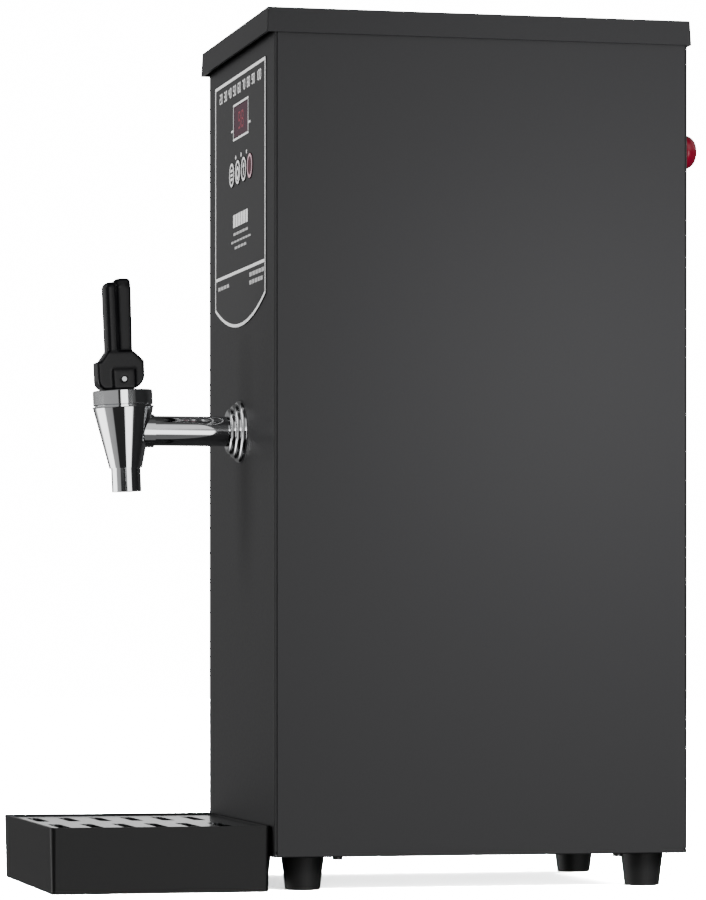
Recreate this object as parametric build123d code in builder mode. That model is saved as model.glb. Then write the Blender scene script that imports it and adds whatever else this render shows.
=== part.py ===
from build123d import *
import os
from math import cos, radians, sin

os.makedirs("parts", exist_ok=True)

# ------------------------------------------------------------------ driving dimensions, millimetres
# Casing
TOTAL_HEIGHT = 625.0        # floor to the top of the lid
BODY_WIDTH = 240.0
BODY_DEPTH = 304.8
FOOT_HEIGHT = 24.4          # floor to the underside of the casing
SHEET = 1.0                 # steel sheet of the casing, lid and base
BEND_R = 1.2                # outside radius of a folded corner
CORNER_LIP = 1.3            # the front and rear pans wrap this far round the corners
SEAM = 1.2                  # open seam between a pan's lip and a side panel
PAN_RETURN = 18.0           # depth of the joggled return behind a side panel
RETURN_RELIEF = 4.0         # returns stop this far short of the casing's top and bottom
FLANGE = 12.0               # folded flange under the lid
FOOT_FLANGE = 9.0           # folded flange at the foot of a pan
SIDE_FOOT_FLANGE = 14.0     # folded flange at the foot of a side panel
FLANGE_GAP = 2.0            # room between neighbouring flanges
BASE_FLANGE = 12.0          # upturned edge of the base pan
BASE_NOTCH = 20.0           # corner relief of the base pan
FIT = 0.3                   # clearance between sheet parts that slide together

# Lid
LID_SKIRT = 17.6
LID_SIDE = 2.3              # overhang of the lid's top past the side panels
LID_FRONT = 5.2
LID_BACK = 1.6
LID_FLARE = 0.9             # the skirt leans out this much at its foot
LID_CORNER_R = 1.5
LID_EDGE_R = 0.8
LID_HEM = 6.0               # height of the hem folded up inside the skirt

# Fasteners
SCREW_R = 2.0               # M4
SCREW_HEAD_R = 3.6
SCREW_HEAD_H = 2.2
SCREW_CLEARANCE = 0.25
LID_SCREW_X = 70.0
LID_SCREW_LENGTH = 9.0
BASE_SCREW_FRONT = 47.7     # distance of the lower side screws from the casing's front and back
BASE_SCREW_BACK = 50.0
BASE_SCREW_INSET = 8.0
BASE_SCREW_LENGTH = 9.0
FOOT_SCREW_R = 3.0          # M6
FOOT_NUT_FLATS = 10.0
FOOT_NUT_H = 5.0

# Feet
FOOT_TOP_R = 15.8
FOOT_BOTTOM_R = 12.7
FOOT_EDGE = 0.8
FOOT_INSET_X = 30.0
FOOT_INSET_FRONT = 27.0
FOOT_INSET_BACK = 25.2
FOOT_RECESS_R = 6.5
FOOT_RECESS = 14.0
FOOT_SCREW_HEAD_R = 5.6
FOOT_SCREW_HEAD_H = 4.0

# Drip tray and grille
TRAY_WIDTH = 228.8
TRAY_DEPTH = 157.4
TRAY_HEIGHT = 47.0
TRAY_GAP = 1.0              # tray to casing
TRAY_WALL = 2.4
TRAY_DRAFT = 1.4            # degrees
TRAY_CORNER_R = 4.0
TRAY_FOOT_R = 1.2
TRAY_FLOOR = 2.6
RIB_DEPTH = 5.0
RIB_WIDTH = 2.4
GRILLE_DROP = 1.6           # rim down to the grille's top
GRILLE_SHEET = 1.5
GRILLE_GAP = 0.6            # grille to tray wall
SLOT_LENGTH = 62.0
SLOT_WIDTH = 9.0
SLOT_COLUMN_X = 52.0
SLOT_PITCH = 23.3
SLOT_ROWS = 6
SLOT_SHIFT = -4.2           # the slot rows sit nearer the tray's front edge

# Control panel
OVERLAY_HALF_WIDTH = 93.0
OVERLAY_DROP = 30.7         # top of the machine down to the film's top edge
OVERLAY_SIDE = 169.3        # length of the film's straight sides
OVERLAY_SAG = 17.0          # depth of its round foot
OVERLAY_SHEET = 0.6
WINDOW_WIDTH = 51.0
WINDOW_HEIGHT = 23.0
WINDOW_DROP = 34.3          # film's top edge down to the window's middle
WINDOW_X = 4.0              # the window stands a little to the right of the machine's middle
WINDOW_GAP = 0.25
LENS_FLANGE = 3.0
LENS_FLANGE_SHEET = 1.5
LENS_RECESS = 0.15
KEY_R = 9.2
KEY_DROP = 38.0             # window's middle down to the row of keys
KEY_PITCH = 22.0
KEY_SHIFT = 6.5
KEY_PROUD = 0.7
KEY_GAP = 0.3
KEY_FLANGE = 1.0
KEY_STEM_R = 2.0
KEY_TRAVEL = 0.6
BOARD_SETBACK = 12.0        # casing face to the front of the control board
BOARD_WIDTH = 140.0
BOARD_HEIGHT = 92.0
BOARD_SHEET = 1.6
BOARD_HOLE_INSET = 6.0
STANDOFF_R = 3.0
TACT_SIZE = 6.0
TACT_HEIGHT = 3.5
TACT_PLUNGER = 1.2
TACT_PLUNGER_R = 1.7
TACT_GAP = 0.2

# Tap
TAP_REACH = 86.5            # casing face to the tap's axis
TAP_HEIGHT = 331.0          # floor to the shank's axis
TAP_LEAN = 2.5              # degrees that the tap's axis leans towards the user
CONE_TOP = 17.4             # heights along the tap's axis, from the shank's axis
CONE_BOTTOM = -27.4
CONE_TOP_R = 22.0
CONE_BOTTOM_R = 12.0
CONE_FLOOR = 4.0
CONE_LIP = 0.4
TAP_WALL = 2.2
BOSS_R = 12.2
BOSS_REACH = 21.5
SHANK_R = 11.0              # G1/2 size tube
SHANK_BORE_R = 8.5
SHANK_NECK_R = 9.8
SHANK_NECK = 3.0
SHANK_INSIDE = 30.0
SHANK_GAP = 0.2
NOZZLE_R = 10.75
NOZZLE_BORE_R = 6.5
NOZZLE_LENGTH = 17.3
NECK_R = 8.6
SEAT_H = -19.4
SEAT_GAP = 0.3
SEAT_EDGE = 0.8
CUP_R = 9.4
CUP_DISC = 4.0
CUP_NECK_R = 5.0
COLLAR_H = -8.0             # spring collar on the stem
COLLAR_R = 7.6
COLLAR_SHEET = 1.5
STEM_R = 2.5
STEM_CLEARANCE = 0.08
STEM_EYE_R = 5.0
STEM_EYE_HALF = 2.2         # half the thickness of the flattened eye
BONNET_R = 21.8
BONNET_TOP = 29.2
BONNET_GROOVE = 0.7
BONNET_PLATE = 9.0
BONNET_SKIRT = 8.5
BONNET_SKIRT_WALL = 3.4
SPRING_R = 6.0
SPRING_WIRE_R = 0.7
SPRING_TURNS = 5
PIN_H = 37.0
PIN_R = 1.75
PIN_RUNNING = 0.06
STEM_LIFT = 5.1             # full lift of the stem, reached at the handle's full tilt

# Tap handle, in the tap's own frame: forward and backward of its axis
HANDLE_GAP = 0.3
HANDLE_FRONT = 19.4
HANDLE_BACK = 15.4
HANDLE_HALF_WIDTH = 10.5
HANDLE_SHOULDER = 50.2
HANDLE_LEDGE = 2.7          # flat top of the hub in front of its slope
HANDLE_NECK = 57.6
HANDLE_TOP = 110.8
HANDLE_EDGE_R = 1.6
CAM_R = 6.5
HEEL_R = 11.0
SLAB_HALF_WIDTH = 6.5
SLAB_FRONT = 3.0
SLAB_BACK_FOOT = 7.8
SLAB_BACK = 8.8
SLAB_R = 1.8
PAD_HALF_WIDTH = 10.0
PAD_FRONT = 11.2
PAD_BACK = 1.8
PAD_DROP = 3.0              # the thumb pad ends below the top of the grip
PAD_R = 3.4
BOSS_PLATE = 0.8
BOSS_PLATE_WIDTH = 16.0
BOSS_PLATE_HEIGHT = 14.2
STEM_SLOT_GAP = 0.25
STEM_SLOT_HALF = 8.0
STEM_SLOT_TOP = 44.0

# Escutcheon
ESC_R = (23.2, 20.2, 17.0)
ESC_STEP = 3.4
ESC_ROUND = 0.9
NUT_FLATS = 30.0
NUT_H = 6.0
WASHER_R = 17.5
WASHER_H = 2.0

# Power switch on the rear pan
SWITCH_INSET = 23.0         # from the casing's right side
SWITCH_DROP = 92.0          # below the top of the machine
SWITCH_BODY_R = 9.8
SWITCH_BODY_DEPTH = 24.0
BOOT_R = 13.8
BOOT_RIM = 2.6
BOOT_REACH = 13.3
BOOT_SHOULDER_R = 11.4
BOOT_SHOULDER = 8.2
BOOT_CROWN_R = 8.5
BOOT_CROWN = 1.9
BOOT_FLAT_R = 2.4
BOOT_WALL = 1.3
ROCKER_HALF_WIDTH = 5.0
ROCKER_HALF_HEIGHT = 7.4
ROCKER_PIVOT = 1.2          # the rocker's axis stands this far behind the rear face
ROCKER_SWEEP_R = 7.2
ROCKER_GAP = 0.3

# Rear pan
LOUVRE_LENGTH = 60.0
LOUVRE_REACH = 4.0
LOUVRE_RISE = 9.0
LOUVRE_PITCH = 15.0
LOUVRE_ROWS = 6
LOUVRE_COLUMN_X = 48.0
LOUVRE_DROP = 155.0         # top of the machine down to the lowest louvre
REAR_REACH = 18.2           # the water inlet stands this far behind the rear face
INLET_X = -34.0
INLET_RISE = 39.6           # heights of the rear fittings above the base pan's floor
INLET_THREAD_R = 13.2       # G3/4
INLET_BORE_R = 9.0
INLET_FLANGE = 3.5
INLET_FLANGE_R = 17.0
DRAIN_X = 25.0
DRAIN_RISE = 29.6
DRAIN_R = 9.0
DRAIN_BORE_R = 6.5
DRAIN_CAP_R = 13.0
DRAIN_CAP_WALL = 2.0
DRAIN_REACH = 15.0
GLAND_INSET = 90.0
GLAND_RISE = 80.0
GLAND_R = 10.0              # M20
GLAND_BORE_R = 5.5
GLAND_FLATS = 24.0
GLAND_HEX = 5.0
GLAND_REACH = 18.0
GLAND_INSIDE = 10.0

# Tank and what stands on it
TANK_R = 92.0
TANK_SHEET = 1.0
TANK_SETBACK = 135.0        # casing's back to the tank's axis
TANK_HEADROOM = 195.0       # tank's rim to the top of the machine
TANK_EDGE_R = 8.0
TANK_RIM = 9.0
TANK_RIM_SHEET = 2.0
SPIGOT_R = 11.0
SPIGOT_GAP = 6.0            # tap shank to spigot, inside the hose
PORT_R = 7.0
PORT_BORE_R = 5.5
PORT_LENGTH = 12.0
PORT_OFFSET = 50.0
JACKET_GAP = 1.0
JACKET_SHEET = 13.0
JACKET_MARGIN = 6.0
STAND_R = 80.0
STAND_HEIGHT = 73.6
STAND_SHEET = 1.5
STAND_WINDOW = 84.0
STAND_RAIL = 8.0
GASKET_SHEET = 3.0
TANK_LID_SHEET = 2.0
LID_BOLT_COUNT = 6
LID_BOLT_R = 2.5
LID_BOLT_HEAD_R = 4.5
LID_BOLT_HEAD_H = 3.5
LID_BOLT_LENGTH = 14.0
ELEMENT_R = 4.0
ELEMENT_HALF_GAP = 16.0
ELEMENT_RISE = 150.0        # above the tank's bottom
ELEMENT_FLANGE_R = 26.0
ELEMENT_FLANGE = 6.0
ELEMENT_TERMINAL = 12.0
PROBE_R = 1.5
PROBE_BUSH_R = 6.0
PROBE_BUSH_H = 14.0
PROBE_DEPTHS = (30.0, 85.0, 280.0)  # of the high, working and low level rods, below the tank's rim
PROBE_PITCH = 22.0
SENSOR_R = 3.0
SENSOR_X = 40.0
SENSOR_DEPTH = 180.0
CUTOUT_R = 9.0
CUTOUT_H = 9.0
CUTOUT_EAR = 15.0
CUTOUT_X = -45.0
VENT_R = 6.0
VENT_BORE_R = 4.5
VENT_RISE = 26.0
VENT_X = 55.0
VENT_OUT_INSET = 20.0       # from the casing's right side
VENT_OUT_SETBACK = 33.0     # from the casing's back
VENT_FOOT = 11.6            # above the base pan's floor
HOSE_WALL = 2.5
OUTLET_HOSE_FRONT = 12.0
OUTLET_HOSE_GAP = 3.0       # hose end to tank wall
VALVE_WIDTH = 26.0
VALVE_HEIGHT = 24.0
VALVE_DEPTH = 44.0
COIL_SIZE = 26.0
COIL_CORNER_R = 4.0
COIL_HEIGHT = 18.0
TERMINAL_SIZE = (22.0, 52.0, 24.0)
TERMINAL_INSET = 28.0       # from the casing's right side
TERMINAL_SETBACK = 98.0     # from the casing's back
RELAY_SIZE = (44.0, 58.0, 26.0)
RELAY_INSET = 40.0          # from the casing's left side
RELAY_SETBACK = 62.0        # from the casing's front
LOOM_R = 4.0
LOOM_INSET = 22.0           # from the casing's left side
LOOM_SETBACK = 40.0         # from the casing's front
LOOM_BEND = 14.0

# ------------------------------------------------------------------ places worked out from them
TOTAL_DEPTH = TRAY_DEPTH + TRAY_GAP + BODY_DEPTH + REAR_REACH
FRONT_Y = -TOTAL_DEPTH / 2 + TRAY_DEPTH + TRAY_GAP
BACK_Y = FRONT_Y + BODY_DEPTH
MID_Y = (FRONT_Y + BACK_Y) / 2
HALF_W = BODY_WIDTH / 2
CASE_BOTTOM = FOOT_HEIGHT
CASE_TOP = TOTAL_HEIGHT - SHEET
LID_FOOT = TOTAL_HEIGHT - LID_SKIRT
BASE_Z = CASE_BOTTOM + SHEET
FLOOR_Z = BASE_Z + SHEET
LID_SCREW_Z = LID_FOOT + (LID_HEM + LID_SKIRT) / 2
LID_SCREW_Y = BACK_Y + LID_BACK + LID_FLARE * (TOTAL_HEIGHT - LID_SCREW_Z + SCREW_HEAD_R) / LID_SKIRT
BASE_SCREW_POINTS = [
    (side * (HALF_W - BASE_SCREW_INSET), y)
    for side in (-1, 1)
    for y in (FRONT_Y + BASE_SCREW_FRONT, BACK_Y - BASE_SCREW_BACK)
]
FOOT_POINTS = [
    (side * (HALF_W - FOOT_INSET_X), y)
    for side in (-1, 1)
    for y in (FRONT_Y + FOOT_INSET_FRONT, BACK_Y - FOOT_INSET_BACK)
]
TRAY_Y = FRONT_Y - TRAY_GAP - TRAY_DEPTH / 2
GRILLE_TOP = TRAY_HEIGHT - GRILLE_DROP
RIB_TOP = GRILLE_TOP - GRILLE_SHEET
OVERLAY_TOP = TOTAL_HEIGHT - OVERLAY_DROP
OVERLAY_SHOULDER = OVERLAY_TOP - OVERLAY_SIDE
WINDOW_Z = OVERLAY_TOP - WINDOW_DROP
KEY_Z = WINDOW_Z - KEY_DROP
KEY_POINTS = [(KEY_SHIFT + (i - 1.5) * KEY_PITCH, KEY_Z) for i in range(4)]
BOARD_Y = FRONT_Y + BOARD_SETBACK
BOARD_Z = (WINDOW_Z + KEY_Z) / 2
BOARD_HOLES = [
    (side * (BOARD_WIDTH / 2 - BOARD_HOLE_INSET), BOARD_Z + level * (BOARD_HEIGHT / 2 - BOARD_HOLE_INSET))
    for side in (-1, 1)
    for level in (-1, 1)
]
TANK_Y = BACK_Y - TANK_SETBACK
TANK_BOTTOM = FLOOR_Z + STAND_HEIGHT
TANK_TOP = TOTAL_HEIGHT - TANK_HEADROOM
TANK_LID_Z = TANK_TOP + GASKET_SHEET
SPIGOT_Y = FRONT_Y + SHANK_INSIDE + SPIGOT_GAP
LID_BOLT_PCR = TANK_R + TANK_RIM / 2
PORT_Y = TANK_Y + PORT_OFFSET
SWITCH_X = HALF_W - SWITCH_INSET
SWITCH_Z = TOTAL_HEIGHT - SWITCH_DROP
INLET_Z = FLOOR_Z + INLET_RISE
DRAIN_Z = FLOOR_Z + DRAIN_RISE
GLAND_X = HALF_W - GLAND_INSET
GLAND_Z = FLOOR_Z + GLAND_RISE
LOUVRE_LOW = TOTAL_HEIGHT - LOUVRE_DROP

TAP_ORIGIN = (0, FRONT_Y - TAP_REACH, TAP_HEIGHT)
TAP_UP = (0, -sin(radians(TAP_LEAN)), cos(radians(TAP_LEAN)))
tap_plane = Plane(origin=TAP_ORIGIN, x_dir=(1, 0, 0), z_dir=TAP_UP)
tap_section = Plane(origin=TAP_ORIGIN, x_dir=(1, 0, 0), z_dir=-tap_plane.y_dir)  # radius, height
tap_side = Plane(origin=TAP_ORIGIN, x_dir=tap_plane.y_dir, z_dir=(1, 0, 0))      # backwards, height
tap_axis = Axis(TAP_ORIGIN, TAP_UP)
shank_axis = Axis((0, FRONT_Y, TAP_HEIGHT), (0, 1, 0))


def seen_from_front(y):
    """Upright plane at y, facing the user: sketches on it are in X and Z, depth runs to -amount."""
    return Plane(origin=(0, y, 0), x_dir=(1, 0, 0), z_dir=(0, -1, 0))


def behind(y):
    """Upright plane at y, facing backwards: its sketches are in -X and Z."""
    return Plane(origin=(0, y, 0), x_dir=(-1, 0, 0), z_dir=(0, 1, 0))


def save(builder, name):
    """Labels a finished piece and writes its file."""
    builder.part.label = name
    export_step(builder.part, f"parts/{name}.step")


# ------------------------------------------------------------------ casing


def corner_pan(face_y, inward):
    """A pan across the casing: its face, two corner lips, joggled returns and two flanges.

    inward is +1 where the inside of the casing lies towards +Y, and -1 where it lies towards -Y.
    """
    lip_y = face_y + inward * CORNER_LIP
    skin_y = face_y + inward * SHEET
    return_length = PAN_RETURN - CORNER_LIP + SHEET
    with BuildPart() as pan:
        with BuildSketch(Plane.XY.offset(CASE_BOTTOM)) as skin:
            with BuildLine():
                Polyline(
                    (0, face_y),
                    (HALF_W, face_y),
                    (HALF_W, lip_y),
                    (HALF_W - SHEET, lip_y),
                    (HALF_W - SHEET, skin_y),
                    (0, skin_y),
                )
                mirror(about=Plane.YZ)
            make_face()
            outer = skin.vertices().filter_by(lambda v: abs(v.Y - face_y) < 0.01 and abs(v.X) > 1)
            fillet(outer, BEND_R)
            inner = skin.vertices().filter_by(lambda v: abs(v.Y - skin_y) < 0.01 and abs(v.X) > 1)
            fillet(inner, BEND_R - SHEET)
        extrude(amount=CASE_TOP - CASE_BOTTOM)
        with BuildSketch(Plane.XY.offset(CASE_BOTTOM + RETURN_RELIEF)):
            for side in (-1, 1):
                with Locations((side * (HALF_W - 1.5 * SHEET), face_y + inward * (PAN_RETURN - return_length / 2))):
                    Rectangle(SHEET, return_length)
        extrude(amount=CASE_TOP - CASE_BOTTOM - 2 * RETURN_RELIEF)
        with BuildSketch(Plane.XY.offset(CASE_TOP - SHEET)):
            with Locations((0, face_y + inward * FLANGE / 2)):
                Rectangle(BODY_WIDTH - 2 * (FLANGE + FLANGE_GAP), FLANGE)
        extrude(amount=SHEET)
        with BuildSketch(Plane.XY.offset(CASE_BOTTOM)):
            with Locations((0, face_y + inward * FOOT_FLANGE / 2)):
                Rectangle(BODY_WIDTH - 2 * (SIDE_FOOT_FLANGE + FLANGE_GAP), FOOT_FLANGE)
        extrude(amount=SHEET)
    return pan.part


def side_panel(side):
    """A side panel, folded in along its top and its foot; side is -1 for left and +1 for right."""
    panel_front = FRONT_Y + CORNER_LIP + SEAM
    panel_length = BODY_DEPTH - 2 * (CORNER_LIP + SEAM)
    skin_x = side * HALF_W
    inner_x = side * (HALF_W - SHEET)
    with BuildPart() as panel:
        with BuildSketch(seen_from_front(panel_front)) as profile:
            with BuildLine():
                Polyline(
                    (side * (HALF_W - FLANGE), CASE_TOP),
                    (skin_x, CASE_TOP),
                    (skin_x, CASE_BOTTOM),
                    (side * (HALF_W - SIDE_FOOT_FLANGE), CASE_BOTTOM),
                    (side * (HALF_W - SIDE_FOOT_FLANGE), CASE_BOTTOM + SHEET),
                    (inner_x, CASE_BOTTOM + SHEET),
                    (inner_x, CASE_TOP - SHEET),
                    (side * (HALF_W - FLANGE), CASE_TOP - SHEET),
                    close=True,
                )
            make_face()
            fillet(profile.vertices().filter_by(lambda v: abs(v.X - skin_x) < 0.01), BEND_R)
            fillet(profile.vertices().filter_by(lambda v: abs(v.X - inner_x) < 0.01), BEND_R - SHEET)
        extrude(amount=-panel_length)
        with BuildSketch(Plane.XY.offset(CASE_BOTTOM)):
            with Locations(*[p for p in BASE_SCREW_POINTS if p[0] * side > 0]):
                Circle(SCREW_R + SCREW_CLEARANCE)
        extrude(amount=SHEET, mode=Mode.SUBTRACT)
    return panel.part


front_blank = corner_pan(FRONT_Y, 1)
with BuildPart() as front_panel:
    add(front_blank)
    with BuildSketch(seen_from_front(FRONT_Y)):
        with Locations((WINDOW_X, WINDOW_Z)):
            Rectangle(WINDOW_WIDTH, WINDOW_HEIGHT)
        with Locations(*KEY_POINTS):
            Circle(KEY_R + KEY_GAP)
        with Locations((0, TAP_HEIGHT)):
            Circle(SHANK_R + SHANK_GAP)
    extrude(amount=-SHEET, mode=Mode.SUBTRACT)
save(front_panel, "front_panel")

for side, name in ((-1, "left_side_panel"), (1, "right_side_panel")):
    panel_blank = side_panel(side)
    with BuildPart() as casing_side:
        add(panel_blank)
    save(casing_side, name)

rear_blank = corner_pan(BACK_Y, -1)
LOUVRE_POINTS = [
    (side * LOUVRE_COLUMN_X, LOUVRE_LOW + row * LOUVRE_PITCH)
    for side in (-1, 1)
    for row in range(LOUVRE_ROWS)
]
with BuildPart() as rear_panel:
    add(rear_blank)
    for x, z in LOUVRE_POINTS:
        with BuildSketch(Plane.YZ.offset(x - LOUVRE_LENGTH / 2)):
            with BuildLine():
                Polyline(
                    (BACK_Y - SHEET / 2, z),
                    (BACK_Y + LOUVRE_REACH, z),
                    (BACK_Y, z + LOUVRE_RISE),
                    (BACK_Y - SHEET / 2, z + LOUVRE_RISE),
                    close=True,
                )
            make_face()
        extrude(amount=LOUVRE_LENGTH)
        with BuildSketch(Plane.YZ.offset(x - LOUVRE_LENGTH / 2 + SHEET)):
            with BuildLine():
                Polyline(
                    (BACK_Y - SHEET, z),
                    (BACK_Y + LOUVRE_REACH - 1.2 * SHEET, z),
                    (BACK_Y - SHEET, z + LOUVRE_RISE - SHEET),
                    close=True,
                )
            make_face()
        extrude(amount=LOUVRE_LENGTH - 2 * SHEET, mode=Mode.SUBTRACT)
    with BuildSketch(behind(BACK_Y)):
        with Locations((-SWITCH_X, SWITCH_Z)):
            Circle(SWITCH_BODY_R)
        with Locations((-INLET_X, INLET_Z)):
            Circle(INLET_THREAD_R + SCREW_CLEARANCE)
        with Locations((-DRAIN_X, DRAIN_Z)):
            Circle(DRAIN_R + SCREW_CLEARANCE)
        with Locations((-GLAND_X, GLAND_Z)):
            Circle(GLAND_R + SCREW_CLEARANCE)
        with Locations((-LID_SCREW_X, LID_SCREW_Z), (LID_SCREW_X, LID_SCREW_Z)):
            Circle(SCREW_R + SCREW_CLEARANCE)
    extrude(amount=-SHEET, mode=Mode.SUBTRACT)
save(rear_panel, "rear_panel")

BASE_WIDTH = BODY_WIDTH - 4 * SHEET - 4 * FIT
BASE_DEPTH = BODY_DEPTH - 2 * SHEET - 2 * FIT
with BuildPart() as base_pan:
    with BuildSketch(Plane.XY.offset(BASE_Z)):
        with Locations((0, MID_Y)):
            Rectangle(BASE_WIDTH, BASE_DEPTH)
    extrude(amount=BASE_FLANGE)
    with BuildSketch(Plane.XY.offset(FLOOR_Z)):
        with Locations((0, MID_Y)):
            Rectangle(BASE_WIDTH - 2 * SHEET, BASE_DEPTH - 2 * SHEET)
            with GridLocations(BASE_WIDTH, BASE_DEPTH, 2, 2):
                Rectangle(2 * BASE_NOTCH, 2 * BASE_NOTCH)
    extrude(amount=BASE_FLANGE, mode=Mode.SUBTRACT)
    with BuildSketch(Plane.XY.offset(BASE_Z)):
        with Locations(*BASE_SCREW_POINTS):
            Circle(SCREW_R + SCREW_CLEARANCE)
        with Locations(*FOOT_POINTS):
            Circle(FOOT_SCREW_R + SCREW_CLEARANCE)
    extrude(amount=SHEET, mode=Mode.SUBTRACT)
save(base_pan, "base_pan")


def lid_block(low, high, inset):
    """Solid inside the lid's outline between two heights, set in from its outside by inset."""
    with BuildPart() as block:
        for z in (low, high):
            flare = LID_FLARE * (TOTAL_HEIGHT - z) / LID_SKIRT
            width = BODY_WIDTH + 2 * (LID_SIDE + flare - inset)
            depth = BODY_DEPTH + LID_FRONT + LID_BACK + 2 * (flare - inset)
            with BuildSketch(Plane.XY.offset(z)):
                with Locations((0, MID_Y + (LID_BACK - LID_FRONT) / 2)):
                    RectangleRounded(width, depth, LID_CORNER_R)
        loft()
    return block.part


lid_outside = lid_block(LID_FOOT, TOTAL_HEIGHT, 0)
lid_inside = lid_block(LID_FOOT + LID_HEM, CASE_TOP, SHEET)
lid_mouth = lid_block(LID_FOOT, LID_FOOT + LID_HEM, 2 * SHEET)
with BuildPart() as top_lid:
    add(lid_outside)
    fillet(top_lid.faces().sort_by(Axis.Z)[-1].edges(), LID_EDGE_R)
    add(lid_inside, mode=Mode.SUBTRACT)
    add(lid_mouth, mode=Mode.SUBTRACT)
    with BuildSketch(behind(LID_SCREW_Y)):
        with Locations((-LID_SCREW_X, LID_SCREW_Z), (LID_SCREW_X, LID_SCREW_Z)):
            Circle(SCREW_R + SCREW_CLEARANCE)
    extrude(amount=-LID_BACK, mode=Mode.SUBTRACT)
save(top_lid, "top_lid")

with BuildPart() as lid_screws:
    with BuildSketch(behind(LID_SCREW_Y)):
        with Locations((-LID_SCREW_X, LID_SCREW_Z), (LID_SCREW_X, LID_SCREW_Z)):
            Circle(SCREW_HEAD_R)
    extrude(amount=SCREW_HEAD_H)
    with BuildSketch(behind(LID_SCREW_Y)):
        with Locations((-LID_SCREW_X, LID_SCREW_Z), (LID_SCREW_X, LID_SCREW_Z)):
            Circle(SCREW_R)
    extrude(amount=-LID_SCREW_LENGTH)
save(lid_screws, "lid_screws")

with BuildPart() as base_screws:
    with BuildSketch(Plane.XY.offset(CASE_BOTTOM)):
        with Locations(*BASE_SCREW_POINTS):
            Circle(SCREW_HEAD_R)
    extrude(amount=-SCREW_HEAD_H)
    with BuildSketch(Plane.XY.offset(CASE_BOTTOM)):
        with Locations(*BASE_SCREW_POINTS):
            Circle(SCREW_R)
    extrude(amount=BASE_SCREW_LENGTH)
save(base_screws, "base_screws")

# ------------------------------------------------------------------ feet

FOOT_SEAT = FOOT_RECESS
with BuildPart() as foot_blank:
    with BuildSketch(Plane.XZ):
        with BuildLine():
            Polyline(
                (FOOT_RECESS_R, 0),
                (FOOT_BOTTOM_R - FOOT_EDGE, 0),
                (FOOT_BOTTOM_R, FOOT_EDGE),
                (FOOT_TOP_R, BASE_Z),
                (FOOT_SCREW_R, BASE_Z),
                (FOOT_SCREW_R, FOOT_SEAT),
                (FOOT_RECESS_R, FOOT_SEAT),
                close=True,
            )
        make_face()
    revolve(axis=Axis.Z)

with BuildPart() as rubber_feet:
    with Locations(*FOOT_POINTS):
        add(foot_blank.part)
save(rubber_feet, "rubber_feet")

with BuildPart() as foot_screws:
    with BuildSketch(Plane.XY.offset(FOOT_SEAT)):
        with Locations(*FOOT_POINTS):
            Circle(FOOT_SCREW_HEAD_R)
    extrude(amount=-FOOT_SCREW_HEAD_H)
    with BuildSketch(Plane.XY.offset(FOOT_SEAT)):
        with Locations(*FOOT_POINTS):
            Circle(FOOT_SCREW_R)
    extrude(amount=FLOOR_Z + FOOT_NUT_H + 1.5 * SHEET - FOOT_SEAT)
save(foot_screws, "foot_screws")

with BuildPart() as foot_nuts:
    with BuildSketch(Plane.XY.offset(FLOOR_Z)):
        with Locations(*FOOT_POINTS):
            RegularPolygon(FOOT_NUT_FLATS / 2, 6, major_radius=False)
            Circle(FOOT_SCREW_R, mode=Mode.SUBTRACT)
    extrude(amount=FOOT_NUT_H)
save(foot_nuts, "foot_nuts")

# ------------------------------------------------------------------ drip tray and grille

with BuildPart() as drip_tray:
    with BuildSketch(Plane.XY.offset(TRAY_HEIGHT)):
        with Locations((0, TRAY_Y)):
            RectangleRounded(TRAY_WIDTH, TRAY_DEPTH, TRAY_CORNER_R)
    extrude(amount=-TRAY_HEIGHT, taper=TRAY_DRAFT)
    fillet(drip_tray.faces().sort_by(Axis.Z)[0].edges(), TRAY_FOOT_R)
    with BuildSketch(Plane.XY.offset(TRAY_HEIGHT)):
        with Locations((0, TRAY_Y)):
            RectangleRounded(TRAY_WIDTH - 2 * TRAY_WALL, TRAY_DEPTH - 2 * TRAY_WALL, TRAY_CORNER_R / 2)
    extrude(amount=TRAY_FLOOR - TRAY_HEIGHT, taper=TRAY_DRAFT, mode=Mode.SUBTRACT)
    with BuildSketch(Plane.XY.offset(TRAY_FLOOR)):
        for side in (-1, 1):
            long_x = side * (TRAY_WIDTH / 2 - TRAY_WALL - RIB_DEPTH / 2)
            for step in (-1, 0, 1):
                with Locations((long_x, TRAY_Y + step * TRAY_DEPTH / 3)):
                    Rectangle(RIB_DEPTH, RIB_WIDTH)
            long_y = TRAY_Y + side * (TRAY_DEPTH / 2 - TRAY_WALL - RIB_DEPTH / 2)
            for step in (-1, 0, 1):
                with Locations((step * TRAY_WIDTH / 3, long_y)):
                    Rectangle(RIB_WIDTH, RIB_DEPTH)
    extrude(amount=RIB_TOP - TRAY_FLOOR)
save(drip_tray, "drip_tray")

with BuildPart() as drip_grille:
    with BuildSketch(Plane.XY.offset(GRILLE_TOP - GRILLE_SHEET)):
        with Locations((0, TRAY_Y)):
            RectangleRounded(
                TRAY_WIDTH - 2 * (TRAY_WALL + GRILLE_GAP),
                TRAY_DEPTH - 2 * (TRAY_WALL + GRILLE_GAP),
                TRAY_CORNER_R / 2,
            )
        for column in (-1, 1):
            for row in range(SLOT_ROWS):
                slot_y = TRAY_Y + SLOT_SHIFT + (row - (SLOT_ROWS - 1) / 2) * SLOT_PITCH
                with Locations((column * SLOT_COLUMN_X, slot_y)):
                    SlotOverall(SLOT_LENGTH, SLOT_WIDTH, mode=Mode.SUBTRACT)
    extrude(amount=GRILLE_SHEET)
save(drip_grille, "drip_grille")

# ------------------------------------------------------------------ control panel

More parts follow.
